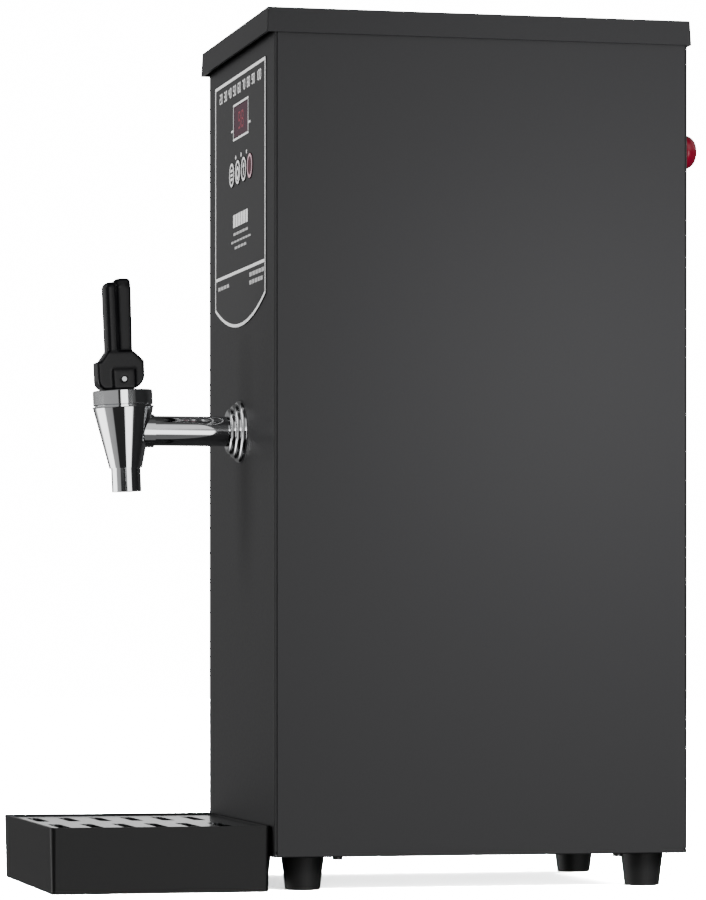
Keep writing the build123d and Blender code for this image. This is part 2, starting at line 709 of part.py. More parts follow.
with BuildPart() as control_overlay:
    with BuildSketch(seen_from_front(FRONT_Y)):
        with BuildLine():
            Polyline(
                (-OVERLAY_HALF_WIDTH, OVERLAY_SHOULDER),
                (-OVERLAY_HALF_WIDTH, OVERLAY_TOP),
                (OVERLAY_HALF_WIDTH, OVERLAY_TOP),
                (OVERLAY_HALF_WIDTH, OVERLAY_SHOULDER),
            )
            ThreePointArc(
                (OVERLAY_HALF_WIDTH, OVERLAY_SHOULDER),
                (0, OVERLAY_SHOULDER - OVERLAY_SAG),
                (-OVERLAY_HALF_WIDTH, OVERLAY_SHOULDER),
            )
        make_face()
        with Locations((WINDOW_X, WINDOW_Z)):
            Rectangle(WINDOW_WIDTH, WINDOW_HEIGHT, mode=Mode.SUBTRACT)
        with Locations(*KEY_POINTS):
            Circle(KEY_R + KEY_GAP, mode=Mode.SUBTRACT)
    extrude(amount=OVERLAY_SHEET)
save(control_overlay, "control_overlay")

with BuildPart() as display_lens:
    with BuildSketch(seen_from_front(FRONT_Y + SHEET)):
        with Locations((WINDOW_X, WINDOW_Z)):
            Rectangle(WINDOW_WIDTH - 2 * WINDOW_GAP, WINDOW_HEIGHT - 2 * WINDOW_GAP)
    extrude(amount=SHEET + OVERLAY_SHEET - LENS_RECESS)
    with BuildSketch(seen_from_front(FRONT_Y + SHEET)):
        with Locations((WINDOW_X, WINDOW_Z)):
            Rectangle(WINDOW_WIDTH + 2 * LENS_FLANGE, WINDOW_HEIGHT + 2 * LENS_FLANGE)
    extrude(amount=-LENS_FLANGE_SHEET)
save(display_lens, "display_lens")

with BuildPart() as display_module:
    with BuildSketch(seen_from_front(BOARD_Y)):
        with Locations((WINDOW_X, WINDOW_Z)):
            Rectangle(WINDOW_WIDTH, WINDOW_HEIGHT)
    extrude(amount=BOARD_SETBACK - SHEET - LENS_FLANGE_SHEET - KEY_GAP)
save(display_module, "display_module")

KEY_NAMES = ("power_key", "set_key", "raise_key", "lower_key")
KEY_FLANGE_Y = FRONT_Y + SHEET + KEY_GAP
KEY_STEM_END = BOARD_Y - TACT_HEIGHT - TACT_PLUNGER - TACT_GAP - KEY_TRAVEL
for (x, z), name in zip(KEY_POINTS, KEY_NAMES):
    with BuildPart() as key:
        with BuildSketch(seen_from_front(KEY_FLANGE_Y)):
            with Locations((x, z)):
                Circle(KEY_R)
        extrude(amount=SHEET + KEY_GAP + OVERLAY_SHEET + KEY_PROUD)
        chamfer(key.faces().sort_by(Axis.Y)[0].edges(), KEY_PROUD / 2)
        with BuildSketch(seen_from_front(KEY_FLANGE_Y)):
            with Locations((x, z)):
                Circle(KEY_R + KEY_GAP + KEY_FLANGE)
        extrude(amount=-KEY_FLANGE)
        with BuildSketch(seen_from_front(KEY_FLANGE_Y)):
            with Locations((x, z)):
                Circle(KEY_STEM_R)
        extrude(amount=-(KEY_STEM_END - KEY_FLANGE_Y))
    save(key, name)

with BuildPart() as tact_switches:
    with BuildSketch(seen_from_front(BOARD_Y)):
        with Locations(*KEY_POINTS):
            Rectangle(TACT_SIZE, TACT_SIZE)
    extrude(amount=TACT_HEIGHT)
    with BuildSketch(seen_from_front(BOARD_Y)):
        with Locations(*KEY_POINTS):
            Circle(TACT_PLUNGER_R)
    extrude(amount=TACT_HEIGHT + TACT_PLUNGER)
save(tact_switches, "tact_switches")

with BuildPart() as control_board:
    with BuildSketch(seen_from_front(BOARD_Y)):
        with Locations((0, BOARD_Z)):
            Rectangle(BOARD_WIDTH, BOARD_HEIGHT)
        with Locations(*BOARD_HOLES):
            Circle(SCREW_R, mode=Mode.SUBTRACT)
    extrude(amount=-BOARD_SHEET)
save(control_board, "control_board")

with BuildPart() as board_standoffs:
    with BuildSketch(seen_from_front(FRONT_Y + SHEET)):
        with Locations(*BOARD_HOLES):
            Circle(STANDOFF_R)
    extrude(amount=-(BOARD_SETBACK - SHEET))
save(board_standoffs, "board_standoffs")

# ------------------------------------------------------------------ tap

BOSS_Y = TAP_ORIGIN[1] + BOSS_REACH
BORE_FLOOR = CONE_BOTTOM + CONE_FLOOR
with BuildPart() as tap_body:
    with BuildSketch(tap_section):
        with BuildLine():
            Polyline(
                (0, CONE_BOTTOM),
                (CONE_BOTTOM_R, CONE_BOTTOM),
                (CONE_TOP_R, CONE_TOP - 3 * CONE_LIP),
                (CONE_TOP_R + CONE_LIP, CONE_TOP - 2 * CONE_LIP),
                (CONE_TOP_R + CONE_LIP, CONE_TOP),
                (0, CONE_TOP),
                close=True,
            )
        make_face()
    revolve(axis=tap_axis)
    with BuildSketch(behind(TAP_ORIGIN[1])):
        with Locations((0, TAP_HEIGHT)):
            Circle(BOSS_R)
    extrude(amount=BOSS_REACH)
    with BuildSketch(tap_section):
        with BuildLine():
            Polyline(
                (0, BORE_FLOOR),
                (CONE_BOTTOM_R - TAP_WALL, BORE_FLOOR),
                (CONE_TOP_R - TAP_WALL, CONE_TOP - BONNET_SKIRT),
                (CONE_TOP_R - TAP_WALL, CONE_TOP),
                (0, CONE_TOP),
                close=True,
            )
        make_face()
    revolve(axis=tap_axis, mode=Mode.SUBTRACT)
    with BuildSketch(tap_plane.offset(CONE_BOTTOM)):
        Circle(NECK_R)
    extrude(amount=CONE_FLOOR, mode=Mode.SUBTRACT)
    with BuildSketch(behind(TAP_ORIGIN[1])):
        with Locations((0, TAP_HEIGHT)):
            Circle(SHANK_BORE_R)
    extrude(amount=BOSS_REACH, mode=Mode.SUBTRACT)
    with BuildSketch(behind(BOSS_Y)):
        with Locations((0, TAP_HEIGHT)):
            Circle(SHANK_NECK_R)
    extrude(amount=-SHANK_NECK, mode=Mode.SUBTRACT)
save(tap_body, "tap_body")

with BuildPart() as tap_nozzle:
    with BuildSketch(tap_section):
        with BuildLine():
            Polyline(
                (NOZZLE_BORE_R, CONE_BOTTOM - NOZZLE_LENGTH),
                (NOZZLE_R, CONE_BOTTOM - NOZZLE_LENGTH),
                (NOZZLE_R, CONE_BOTTOM),
                (NECK_R, CONE_BOTTOM),
                (NECK_R, SEAT_H - SEAT_EDGE),
                (NECK_R - SEAT_EDGE, SEAT_H),
                (NOZZLE_BORE_R, SEAT_H),
                close=True,
            )
        make_face()
    revolve(axis=tap_axis)
save(tap_nozzle, "tap_nozzle")

with BuildPart() as tap_shank:
    with BuildSketch(behind(BOSS_Y)):
        with Locations((0, TAP_HEIGHT)):
            Circle(SHANK_R)
            Circle(SHANK_BORE_R, mode=Mode.SUBTRACT)
    extrude(amount=TAP_REACH - BOSS_REACH + SHANK_INSIDE)
    with BuildSketch(behind(BOSS_Y)):
        with Locations((0, TAP_HEIGHT)):
            Circle(SHANK_NECK_R)
            Circle(SHANK_BORE_R, mode=Mode.SUBTRACT)
    extrude(amount=-SHANK_NECK)
save(tap_shank, "tap_shank")

with BuildPart() as tap_escutcheon:
    with BuildSketch(Plane.XY.offset(TAP_HEIGHT)) as steps:
        with BuildLine():
            Polyline(
                (SHANK_R + SHANK_GAP, FRONT_Y),
                (ESC_R[0], FRONT_Y),
                (ESC_R[0], FRONT_Y - ESC_STEP),
                (ESC_R[1], FRONT_Y - ESC_STEP),
                (ESC_R[1], FRONT_Y - 2 * ESC_STEP),
                (ESC_R[2], FRONT_Y - 2 * ESC_STEP),
                (ESC_R[2], FRONT_Y - 3 * ESC_STEP),
                (SHANK_R + SHANK_GAP, FRONT_Y - 3 * ESC_STEP),
                close=True,
            )
        make_face()
        rims = [
            steps.vertices().sort_by_distance((ESC_R[i], FRONT_Y - (i + 1) * ESC_STEP))[0]
            for i in range(3)
        ]
        fillet(rims, ESC_ROUND)
    revolve(axis=shank_axis)
save(tap_escutcheon, "tap_escutcheon")

with BuildPart() as shank_washer:
    with BuildSketch(behind(FRONT_Y + SHEET)):
        with Locations((0, TAP_HEIGHT)):
            Circle(WASHER_R)
            Circle(SHANK_R, mode=Mode.SUBTRACT)
    extrude(amount=WASHER_H)
save(shank_washer, "shank_washer")

with BuildPart() as shank_nut:
    with BuildSketch(behind(FRONT_Y + SHEET + WASHER_H)):
        with Locations((0, TAP_HEIGHT)):
            RegularPolygon(NUT_FLATS / 2, 6, major_radius=False)
            Circle(SHANK_R, mode=Mode.SUBTRACT)
    extrude(amount=NUT_H)
save(shank_nut, "shank_nut")

BONNET_UNDERSIDE = BONNET_TOP - BONNET_PLATE
BONNET_SKIRT_R = CONE_TOP_R - TAP_WALL
with BuildPart() as tap_bonnet:
    with BuildSketch(tap_section) as ring:
        with BuildLine():
            Polyline(
                (STEM_R + STEM_CLEARANCE, BONNET_TOP),
                (BONNET_R, BONNET_TOP),
                (BONNET_R, CONE_TOP + BONNET_GROOVE),
                (BONNET_SKIRT_R + BONNET_GROOVE, CONE_TOP + BONNET_GROOVE),
                (BONNET_SKIRT_R + BONNET_GROOVE, CONE_TOP),
                (BONNET_SKIRT_R, CONE_TOP),
                (BONNET_SKIRT_R, CONE_TOP - BONNET_SKIRT + FIT),
                (BONNET_SKIRT_R - BONNET_SKIRT_WALL, CONE_TOP - BONNET_SKIRT + FIT),
                (BONNET_SKIRT_R - BONNET_SKIRT_WALL, BONNET_UNDERSIDE),
                (STEM_R + STEM_CLEARANCE, BONNET_UNDERSIDE),
                close=True,
            )
        make_face()
        chamfer(ring.vertices().filter_by(lambda v: v.X > BONNET_R - 0.01), BONNET_GROOVE)
    revolve(axis=tap_axis)
save(tap_bonnet, "tap_bonnet")

CUP_BOTTOM = SEAT_H + SEAT_GAP
with BuildPart() as seat_cup:
    with BuildSketch(tap_section):
        with BuildLine():
            Polyline(
                (0, CUP_BOTTOM),
                (CUP_R, CUP_BOTTOM),
                (CUP_R, CUP_BOTTOM + CUP_DISC),
                (CUP_NECK_R, CUP_BOTTOM + 1.5 * CUP_DISC),
                (CUP_NECK_R, COLLAR_H),
                (STEM_R, COLLAR_H),
                (STEM_R, CUP_BOTTOM + CUP_DISC / 2),
                (0, CUP_BOTTOM + CUP_DISC / 2),
                close=True,
            )
        make_face()
    revolve(axis=tap_axis)
save(seat_cup, "seat_cup")

with BuildPart() as tap_stem:
    with BuildSketch(tap_plane.offset(CUP_BOTTOM + CUP_DISC / 2)):
        Circle(STEM_R)
    extrude(amount=PIN_H - STEM_EYE_R / 2 - CUP_BOTTOM - CUP_DISC / 2)
    with BuildSketch(tap_plane.offset(COLLAR_H)):
        Circle(COLLAR_R)
    extrude(amount=COLLAR_SHEET)
    with BuildSketch(tap_side):
        with Locations((0, PIN_H)):
            Circle(STEM_EYE_R)
    extrude(amount=STEM_EYE_HALF, both=True)
    with BuildSketch(tap_side):
        with Locations((0, PIN_H)):
            Circle(PIN_R + PIN_RUNNING)
    extrude(amount=STEM_R, both=True, mode=Mode.SUBTRACT)
save(tap_stem, "tap_stem")

SPRING_FOOT = COLLAR_H + COLLAR_SHEET + SPRING_WIRE_R + FIT
SPRING_HEAD = BONNET_UNDERSIDE - SPRING_WIRE_R
spring_path = Helix(
    pitch=(SPRING_HEAD - SPRING_FOOT) / SPRING_TURNS,
    height=SPRING_HEAD - SPRING_FOOT,
    radius=SPRING_R,
    center=tap_plane.offset(SPRING_FOOT).origin,
    direction=tap_plane.z_dir,
)
with BuildPart() as tap_spring:
    with BuildSketch(Plane(origin=spring_path @ 0, z_dir=spring_path % 0)):
        RegularPolygon(SPRING_WIRE_R, 6)
    sweep(path=spring_path, is_frenet=True)
save(tap_spring, "tap_spring")

HANDLE_BOTTOM = BONNET_TOP + HANDLE_GAP
with BuildPart() as handle_base:
    with BuildSketch(tap_side) as outline:
        with BuildLine():
            Polyline(
                (-HANDLE_FRONT, HANDLE_BOTTOM),
                (-HANDLE_FRONT, HANDLE_SHOULDER),
                (-HANDLE_FRONT + HANDLE_LEDGE, HANDLE_SHOULDER),
                (-PAD_FRONT, HANDLE_NECK),
                (SLAB_BACK_FOOT, HANDLE_NECK),
                (HANDLE_BACK, HANDLE_SHOULDER),
                (HANDLE_BACK, HANDLE_BOTTOM),
                close=True,
            )
        make_face()
        fillet(outline.vertices().sort_by_distance((-HANDLE_FRONT, HANDLE_BOTTOM))[0], CAM_R)
        fillet(outline.vertices().sort_by_distance((HANDLE_BACK, HANDLE_BOTTOM))[0], HEEL_R)
    extrude(amount=HANDLE_HALF_WIDTH, both=True)
    hub_sides = handle_base.faces().sort_by(Axis.X)
    fillet(hub_sides[0].edges() + hub_sides[-1].edges(), HANDLE_EDGE_R)
with BuildPart() as grip_slab:
    with BuildSketch(tap_side):
        with BuildLine():
            Polyline(
                (-SLAB_FRONT, HANDLE_SHOULDER),
                (-SLAB_FRONT, HANDLE_TOP),
                (SLAB_BACK, HANDLE_TOP),
                (SLAB_BACK_FOOT, HANDLE_NECK),
                (SLAB_BACK_FOOT, HANDLE_SHOULDER),
                close=True,
            )
        make_face()
    extrude(amount=SLAB_HALF_WIDTH, both=True)
    slab_foot = grip_slab.faces().sort_by(tap_axis)[0].edges()
    fillet([e for e in grip_slab.edges() if e not in slab_foot], SLAB_R)
with BuildPart() as thumb_pad:
    with BuildSketch(tap_plane.offset(HANDLE_SHOULDER + HANDLE_GAP)):
        with Locations((0, -(PAD_FRONT + PAD_BACK) / 2)):
            RectangleRounded(2 * PAD_HALF_WIDTH, PAD_FRONT - PAD_BACK, PAD_R)
    extrude(amount=HANDLE_TOP - PAD_DROP - HANDLE_SHOULDER)
    fillet(thumb_pad.faces().sort_by(tap_axis)[-1].edges(), PAD_R - 0.4)

with BuildPart() as tap_handle:
    add(handle_base.part)
    add(grip_slab.part)
    add(thumb_pad.part)
    with BuildSketch(tap_side):
        with Locations((0, PIN_H)):
            Rectangle(BOSS_PLATE_WIDTH, BOSS_PLATE_HEIGHT)
    extrude(amount=HANDLE_HALF_WIDTH + BOSS_PLATE, both=True)
    with BuildSketch(tap_side):
        with Locations((0, (HANDLE_BOTTOM + STEM_SLOT_TOP) / 2)):
            Rectangle(2 * STEM_SLOT_HALF, STEM_SLOT_TOP - HANDLE_BOTTOM)
    extrude(amount=STEM_R + STEM_SLOT_GAP, both=True, mode=Mode.SUBTRACT)
    with BuildSketch(tap_side):
        with Locations((0, PIN_H)):
            Circle(PIN_R)
    extrude(amount=HANDLE_HALF_WIDTH + BOSS_PLATE, both=True, mode=Mode.SUBTRACT)
save(tap_handle, "tap_handle")

with BuildPart() as handle_pin:
    with BuildSketch(tap_side):
        with Locations((0, PIN_H)):
            Circle(PIN_R)
    extrude(amount=HANDLE_HALF_WIDTH + BOSS_PLATE, both=True)
save(handle_pin, "handle_pin")

# ------------------------------------------------------------------ power switch

SWITCH_AXIS = Axis((SWITCH_X, BACK_Y, SWITCH_Z), (0, 1, 0))
switch_section = Plane(origin=(SWITCH_X, BACK_Y, SWITCH_Z), x_dir=(1, 0, 0), z_dir=(0, 0, 1))
switch_side = Plane(origin=(SWITCH_X, BACK_Y, SWITCH_Z), x_dir=(0, 1, 0), z_dir=(1, 0, 0))

with BuildPart() as switch_boot:
    for wall, mode in ((0, Mode.ADD), (BOOT_WALL, Mode.SUBTRACT)):
        with BuildSketch(switch_section):
            with BuildLine():
                Polyline(
                    (BOOT_FLAT_R, BOOT_REACH - wall),
                    (0, BOOT_REACH - wall),
                    (0, 0),
                    (BOOT_R - wall, 0),
                    (BOOT_R - wall, BOOT_RIM),
                    (BOOT_R - BOOT_WALL - wall, BOOT_RIM + BOOT_WALL),
                )
                ThreePointArc(
                    (BOOT_R - BOOT_WALL - wall, BOOT_RIM + BOOT_WALL),
                    (BOOT_SHOULDER_R - wall, BOOT_SHOULDER - wall / 2),
                    (BOOT_CROWN_R - wall, BOOT_REACH - BOOT_CROWN - wall),
                )
                ThreePointArc(
                    (BOOT_CROWN_R - wall, BOOT_REACH - BOOT_CROWN - wall),
                    ((BOOT_CROWN_R + BOOT_FLAT_R) / 2, BOOT_REACH - BOOT_CROWN / 3 - wall),
                    (BOOT_FLAT_R, BOOT_REACH - wall),
                )
            make_face()
        revolve(axis=SWITCH_AXIS, mode=mode)
save(switch_boot, "switch_boot")

with BuildPart() as switch_body:
    with BuildSketch(behind(BACK_Y)):
        with Locations((-SWITCH_X, SWITCH_Z)):
            Circle(SWITCH_BODY_R)
    extrude(amount=-SWITCH_BODY_DEPTH)
    with BuildSketch(behind(BACK_Y)):
        with Locations((-SWITCH_X, SWITCH_Z)):
            Circle(SWITCH_BODY_R)
    extrude(amount=SHEET)
    with BuildSketch(switch_side):
        with Locations((-ROCKER_PIVOT, 0)):
            Circle(ROCKER_SWEEP_R + ROCKER_GAP)
    extrude(amount=ROCKER_HALF_WIDTH + ROCKER_GAP, both=True, mode=Mode.SUBTRACT)
save(switch_body, "switch_body")

with BuildPart() as switch_rocker:
    with BuildSketch(switch_side):
        with BuildLine():
            Polyline(
                (-ROCKER_PIVOT, -ROCKER_SWEEP_R),
                (BOOT_RIM, -0.75 * ROCKER_SWEEP_R),
                (BOOT_RIM - ROCKER_PIVOT, 0),
                (2 * BOOT_RIM, 0.75 * ROCKER_SWEEP_R),
                (-ROCKER_PIVOT, ROCKER_SWEEP_R),
            )
            ThreePointArc(
                (-ROCKER_PIVOT, ROCKER_SWEEP_R),
                (-ROCKER_PIVOT - ROCKER_SWEEP_R, 0),
                (-ROCKER_PIVOT, -ROCKER_SWEEP_R),
            )
        make_face()
    extrude(amount=ROCKER_HALF_WIDTH, both=True)
save(switch_rocker, "switch_rocker")

# ------------------------------------------------------------------ rear fittings

with BuildPart() as inlet_fitting:
    with BuildSketch(behind(BACK_Y)):
        with Locations((-INLET_X, INLET_Z)):
            Circle(INLET_FLANGE_R)
            Circle(INLET_BORE_R, mode=Mode.SUBTRACT)
    extrude(amount=INLET_FLANGE)
    with BuildSketch(behind(BACK_Y - SHEET)):
        with Locations((-INLET_X, INLET_Z)):
            Circle(INLET_THREAD_R)
            Circle(INLET_BORE_R, mode=Mode.SUBTRACT)
    extrude(amount=REAR_REACH + SHEET)
save(inlet_fitting, "inlet_fitting")

VALVE_BACK = BACK_Y - SHEET
with BuildPart() as inlet_valve:
    with BuildSketch(behind(VALVE_BACK)):
        with Locations((-INLET_X, INLET_Z)):
            Circle(INLET_THREAD_R + SHEET)
    extrude(amount=-VALVE_DEPTH / 4)
    with BuildSketch(behind(VALVE_BACK - VALVE_DEPTH / 4)):
        with Locations((-INLET_X, INLET_Z)):
            Rectangle(VALVE_WIDTH, VALVE_HEIGHT)
    extrude(amount=-3 * VALVE_DEPTH / 4)
    with BuildSketch(Plane.XY.offset(INLET_Z + VALVE_HEIGHT / 2)):
        with Locations((INLET_X, VALVE_BACK - 0.6 * VALVE_DEPTH)):
            RectangleRounded(COIL_SIZE, COIL_SIZE, COIL_CORNER_R)
    extrude(amount=COIL_HEIGHT)
    with BuildSketch(behind(VALVE_BACK - VALVE_DEPTH)):
        with Locations((-INLET_X, INLET_Z)):
            Circle(PORT_R)
    extrude(amount=-PORT_LENGTH)
save(inlet_valve, "inlet_valve")

HOSE_START_Y = VALVE_BACK - VALVE_DEPTH - PORT_LENGTH
INLET_PORT_END = TANK_BOTTOM - PORT_LENGTH
with BuildPart() as inlet_hose:
    with BuildLine() as inlet_route:
        FilletPolyline(
            (INLET_X, HOSE_START_Y, INLET_Z),
            (INLET_X, PORT_Y, INLET_Z),
            (INLET_X, PORT_Y, INLET_PORT_END),
            radius=PORT_LENGTH,
        )
    with BuildSketch(Plane(origin=inlet_route.line @ 0, z_dir=inlet_route.line % 0)):
        Circle(PORT_R)
        Circle(PORT_BORE_R, mode=Mode.SUBTRACT)
    sweep()
save(inlet_hose, "inlet_hose")

with BuildPart() as drain_pipe:
    with BuildLine() as drain_route:
        FilletPolyline(
            (DRAIN_X, PORT_Y, INLET_PORT_END),
            (DRAIN_X, PORT_Y, DRAIN_Z),
            (DRAIN_X, BACK_Y + DRAIN_REACH - DRAIN_CAP_WALL, DRAIN_Z),
            radius=2 * DRAIN_R,
        )
    with BuildSketch(Plane(origin=drain_route.line @ 0, z_dir=drain_route.line % 0)):
        Circle(DRAIN_R)
        Circle(DRAIN_BORE_R, mode=Mode.SUBTRACT)
    sweep()
save(drain_pipe, "drain_pipe")

with BuildPart() as drain_cap:
    with BuildSketch(behind(BACK_Y + DRAIN_CAP_WALL)):
        with Locations((-DRAIN_X, DRAIN_Z)):
            RegularPolygon(DRAIN_CAP_R, 8)
    extrude(amount=DRAIN_REACH - DRAIN_CAP_WALL)
    with BuildSketch(behind(BACK_Y + DRAIN_CAP_WALL)):
        with Locations((-DRAIN_X, DRAIN_Z)):
            Circle(DRAIN_R)
    extrude(amount=DRAIN_REACH - 2 * DRAIN_CAP_WALL, mode=Mode.SUBTRACT)
save(drain_cap, "drain_cap")

with BuildPart() as cable_gland:
    with BuildSketch(behind(BACK_Y)):
        with Locations((-GLAND_X, GLAND_Z)):
            RegularPolygon(GLAND_FLATS / 2, 6, major_radius=False)
    extrude(amount=GLAND_HEX)
    with BuildSketch(behind(BACK_Y)):
        with Locations((-GLAND_X, GLAND_Z)):
            Circle(GLAND_R)
    extrude(amount=GLAND_REACH)
    fillet(cable_gland.faces().sort_by(Axis.Y)[-1].edges(), GLAND_HEX / 2)
    with BuildSketch(behind(BACK_Y)):
        with Locations((-GLAND_X, GLAND_Z)):
            Circle(GLAND_R)
    extrude(amount=-GLAND_INSIDE)
    with BuildSketch(behind(BACK_Y - SHEET)):
        with Locations((-GLAND_X, GLAND_Z)):
            RegularPolygon(GLAND_FLATS / 2, 6, major_radius=False)
    extrude(amount=-GLAND_HEX)
    with BuildSketch(behind(BACK_Y + GLAND_REACH)):
        with Locations((-GLAND_X, GLAND_Z)):
            Circle(GLAND_BORE_R)
    extrude(amount=-(GLAND_REACH + GLAND_INSIDE), mode=Mode.SUBTRACT)
save(cable_gland, "cable_gland")

# ------------------------------------------------------------------ tank

tank_axis = Axis((0, TANK_Y, 0), (0, 0, 1))
tank_section = Plane(origin=(0, TANK_Y, 0), x_dir=(1, 0, 0), z_dir=(0, -1, 0))
INNER_R = TANK_R - TANK_SHEET
PORTS = [(INLET_X, PORT_Y), (DRAIN_X, PORT_Y)]
LID_BOLTS = PolarLocations(LID_BOLT_PCR, LID_BOLT_COUNT)
BOLT_POINTS = [(p.position.X, TANK_Y + p.position.Y) for p in LID_BOLTS.locations]
PROBE_POINTS = [((i - 1) * PROBE_PITCH, TANK_Y - PROBE_PITCH) for i in range(3)]

with BuildPart() as tank_shell:
    with BuildSketch(tank_section) as wall:
        with BuildLine():
            Polyline(
                (0, TANK_BOTTOM),
                (TANK_R, TANK_BOTTOM),
                (TANK_R, TANK_TOP - TANK_RIM_SHEET),
                (TANK_R + TANK_RIM, TANK_TOP - TANK_RIM_SHEET),
                (TANK_R + TANK_RIM, TANK_TOP),
                (INNER_R, TANK_TOP),
                (INNER_R, TANK_BOTTOM + TANK_SHEET),
                (0, TANK_BOTTOM + TANK_SHEET),
                close=True,
            )
        make_face()
        fillet(wall.vertices().sort_by_distance((TANK_R, TANK_BOTTOM))[0], TANK_EDGE_R)
        inner_corner = wall.vertices().sort_by_distance((INNER_R, TANK_BOTTOM + TANK_SHEET))[0]
        fillet(inner_corner, TANK_EDGE_R - TANK_SHEET)
    revolve(axis=tank_axis)
    with BuildSketch(behind(SPIGOT_Y)):
        with Locations((0, TAP_HEIGHT)):
            Circle(SPIGOT_R)
    extrude(amount=TANK_Y - INNER_R - SPIGOT_Y)
    with BuildSketch(behind(SPIGOT_Y)):
        with Locations((0, TAP_HEIGHT)):
            Circle(SHANK_BORE_R)
    extrude(amount=TANK_Y - INNER_R + TANK_EDGE_R - SPIGOT_Y, mode=Mode.SUBTRACT)
    with BuildSketch(Plane.XY.offset(TANK_BOTTOM)):
        with Locations(*PORTS):
            Circle(PORT_R)
    extrude(amount=-PORT_LENGTH)
    with BuildSketch(Plane.XY.offset(TANK_BOTTOM + TANK_SHEET)):
        with Locations(*PORTS):
            Circle(PORT_BORE_R)
    extrude(amount=-(PORT_LENGTH + TANK_SHEET), mode=Mode.SUBTRACT)
    with BuildSketch(Plane.XY.offset(TANK_BOTTOM)):
        with Locations((-ELEMENT_HALF_GAP, TANK_Y), (ELEMENT_HALF_GAP, TANK_Y)):
            Circle(ELEMENT_R)
    extrude(amount=TANK_SHEET, mode=Mode.SUBTRACT)
    with BuildSketch(Plane.XY.offset(TANK_TOP - TANK_RIM_SHEET)):
        with Locations(*BOLT_POINTS):
            Circle(LID_BOLT_R)
    extrude(amount=TANK_RIM_SHEET, mode=Mode.SUBTRACT)
save(tank_shell, "tank_shell")

with BuildPart() as tank_gasket:
    with BuildSketch(Plane.XY.offset(TANK_TOP)):
        with Locations((0, TANK_Y)):
            Circle(TANK_R + TANK_RIM)
            Circle(INNER_R, mode=Mode.SUBTRACT)
        with Locations(*BOLT_POINTS):
            Circle(LID_BOLT_R, mode=Mode.SUBTRACT)
    extrude(amount=GASKET_SHEET)
save(tank_gasket, "tank_gasket")

with BuildPart() as tank_lid:
    with BuildSketch(Plane.XY.offset(TANK_LID_Z)):
        with Locations((0, TANK_Y)):
            Circle(TANK_R + TANK_RIM)
        with Locations(*BOLT_POINTS):
            Circle(LID_BOLT_R, mode=Mode.SUBTRACT)
        with Locations(*PROBE_POINTS):
            Circle(PROBE_BUSH_R, mode=Mode.SUBTRACT)
        with Locations((SENSOR_X, TANK_Y)):
            Circle(SENSOR_R, mode=Mode.SUBTRACT)
        with Locations((VENT_X, TANK_Y + PROBE_PITCH)):
            Circle(VENT_R, mode=Mode.SUBTRACT)
    extrude(amount=TANK_LID_SHEET)
save(tank_lid, "tank_lid")

BOLT_SEAT = TANK_LID_Z + TANK_LID_SHEET
with BuildPart() as tank_lid_bolts:
    with BuildSketch(Plane.XY.offset(BOLT_SEAT)):
        with Locations(*BOLT_POINTS):
            RegularPolygon(LID_BOLT_HEAD_R, 6)
    extrude(amount=LID_BOLT_HEAD_H)
    with BuildSketch(Plane.XY.offset(BOLT_SEAT)):
        with Locations(*BOLT_POINTS):
            Circle(LID_BOLT_R)
    extrude(amount=-LID_BOLT_LENGTH)
save(tank_lid_bolts, "tank_lid_bolts")

JACKET_R = TANK_R + JACKET_GAP + JACKET_SHEET
with BuildPart() as insulation_jacket:
    with BuildSketch(Plane.XY.offset(TANK_BOTTOM + JACKET_MARGIN)):
        with Locations((0, TANK_Y)):
            Circle(JACKET_R)
            Circle(TANK_R + JACKET_GAP, mode=Mode.SUBTRACT)
    extrude(amount=TANK_TOP - TANK_BOTTOM - JACKET_MARGIN - 2 * LID_BOLT_LENGTH)
    with BuildSketch(behind(TANK_Y)):
        with Locations((0, TAP_HEIGHT)):
            Circle(SPIGOT_R + HOSE_WALL + JACKET_GAP)
    extrude(amount=-JACKET_R, mode=Mode.SUBTRACT)
save(insulation_jacket, "insulation_jacket")

with BuildPart() as tank_stand:
    with BuildSketch(Plane.XY.offset(FLOOR_Z)):
        with Locations((0, TANK_Y)):
            Circle(STAND_R)
            Circle(STAND_R - STAND_SHEET, mode=Mode.SUBTRACT)
    extrude(amount=TANK_BOTTOM - FLOOR_Z)
    with BuildSketch(Plane.XY.offset(FLOOR_Z + STAND_RAIL)):
        with Locations((0, TANK_Y)):
            Rectangle(STAND_WINDOW, 3 * STAND_R)
            Rectangle(3 * STAND_R, STAND_WINDOW)
    extrude(amount=TANK_BOTTOM - FLOOR_Z - STAND_RAIL - SHEET, mode=Mode.SUBTRACT)
save(tank_stand, "tank_stand")

with BuildPart() as heating_element:
    with BuildLine() as element_route:
        FilletPolyline(
            (-ELEMENT_HALF_GAP, TANK_Y, TANK_BOTTOM - ELEMENT_FLANGE - ELEMENT_TERMINAL),
            (-ELEMENT_HALF_GAP, TANK_Y, TANK_BOTTOM + ELEMENT_RISE),
            (ELEMENT_HALF_GAP, TANK_Y, TANK_BOTTOM + ELEMENT_RISE),
            (ELEMENT_HALF_GAP, TANK_Y, TANK_BOTTOM - ELEMENT_FLANGE - ELEMENT_TERMINAL),
            radius=ELEMENT_HALF_GAP - SHEET / 4,
        )
    with BuildSketch(Plane(origin=element_route.line @ 0, z_dir=element_route.line % 0)):
        Circle(ELEMENT_R)
    sweep()
    with BuildSketch(Plane.XY.offset(TANK_BOTTOM)):
        with Locations((0, TANK_Y)):
            Circle(ELEMENT_FLANGE_R)
    extrude(amount=-ELEMENT_FLANGE)
save(heating_element, "heating_element")

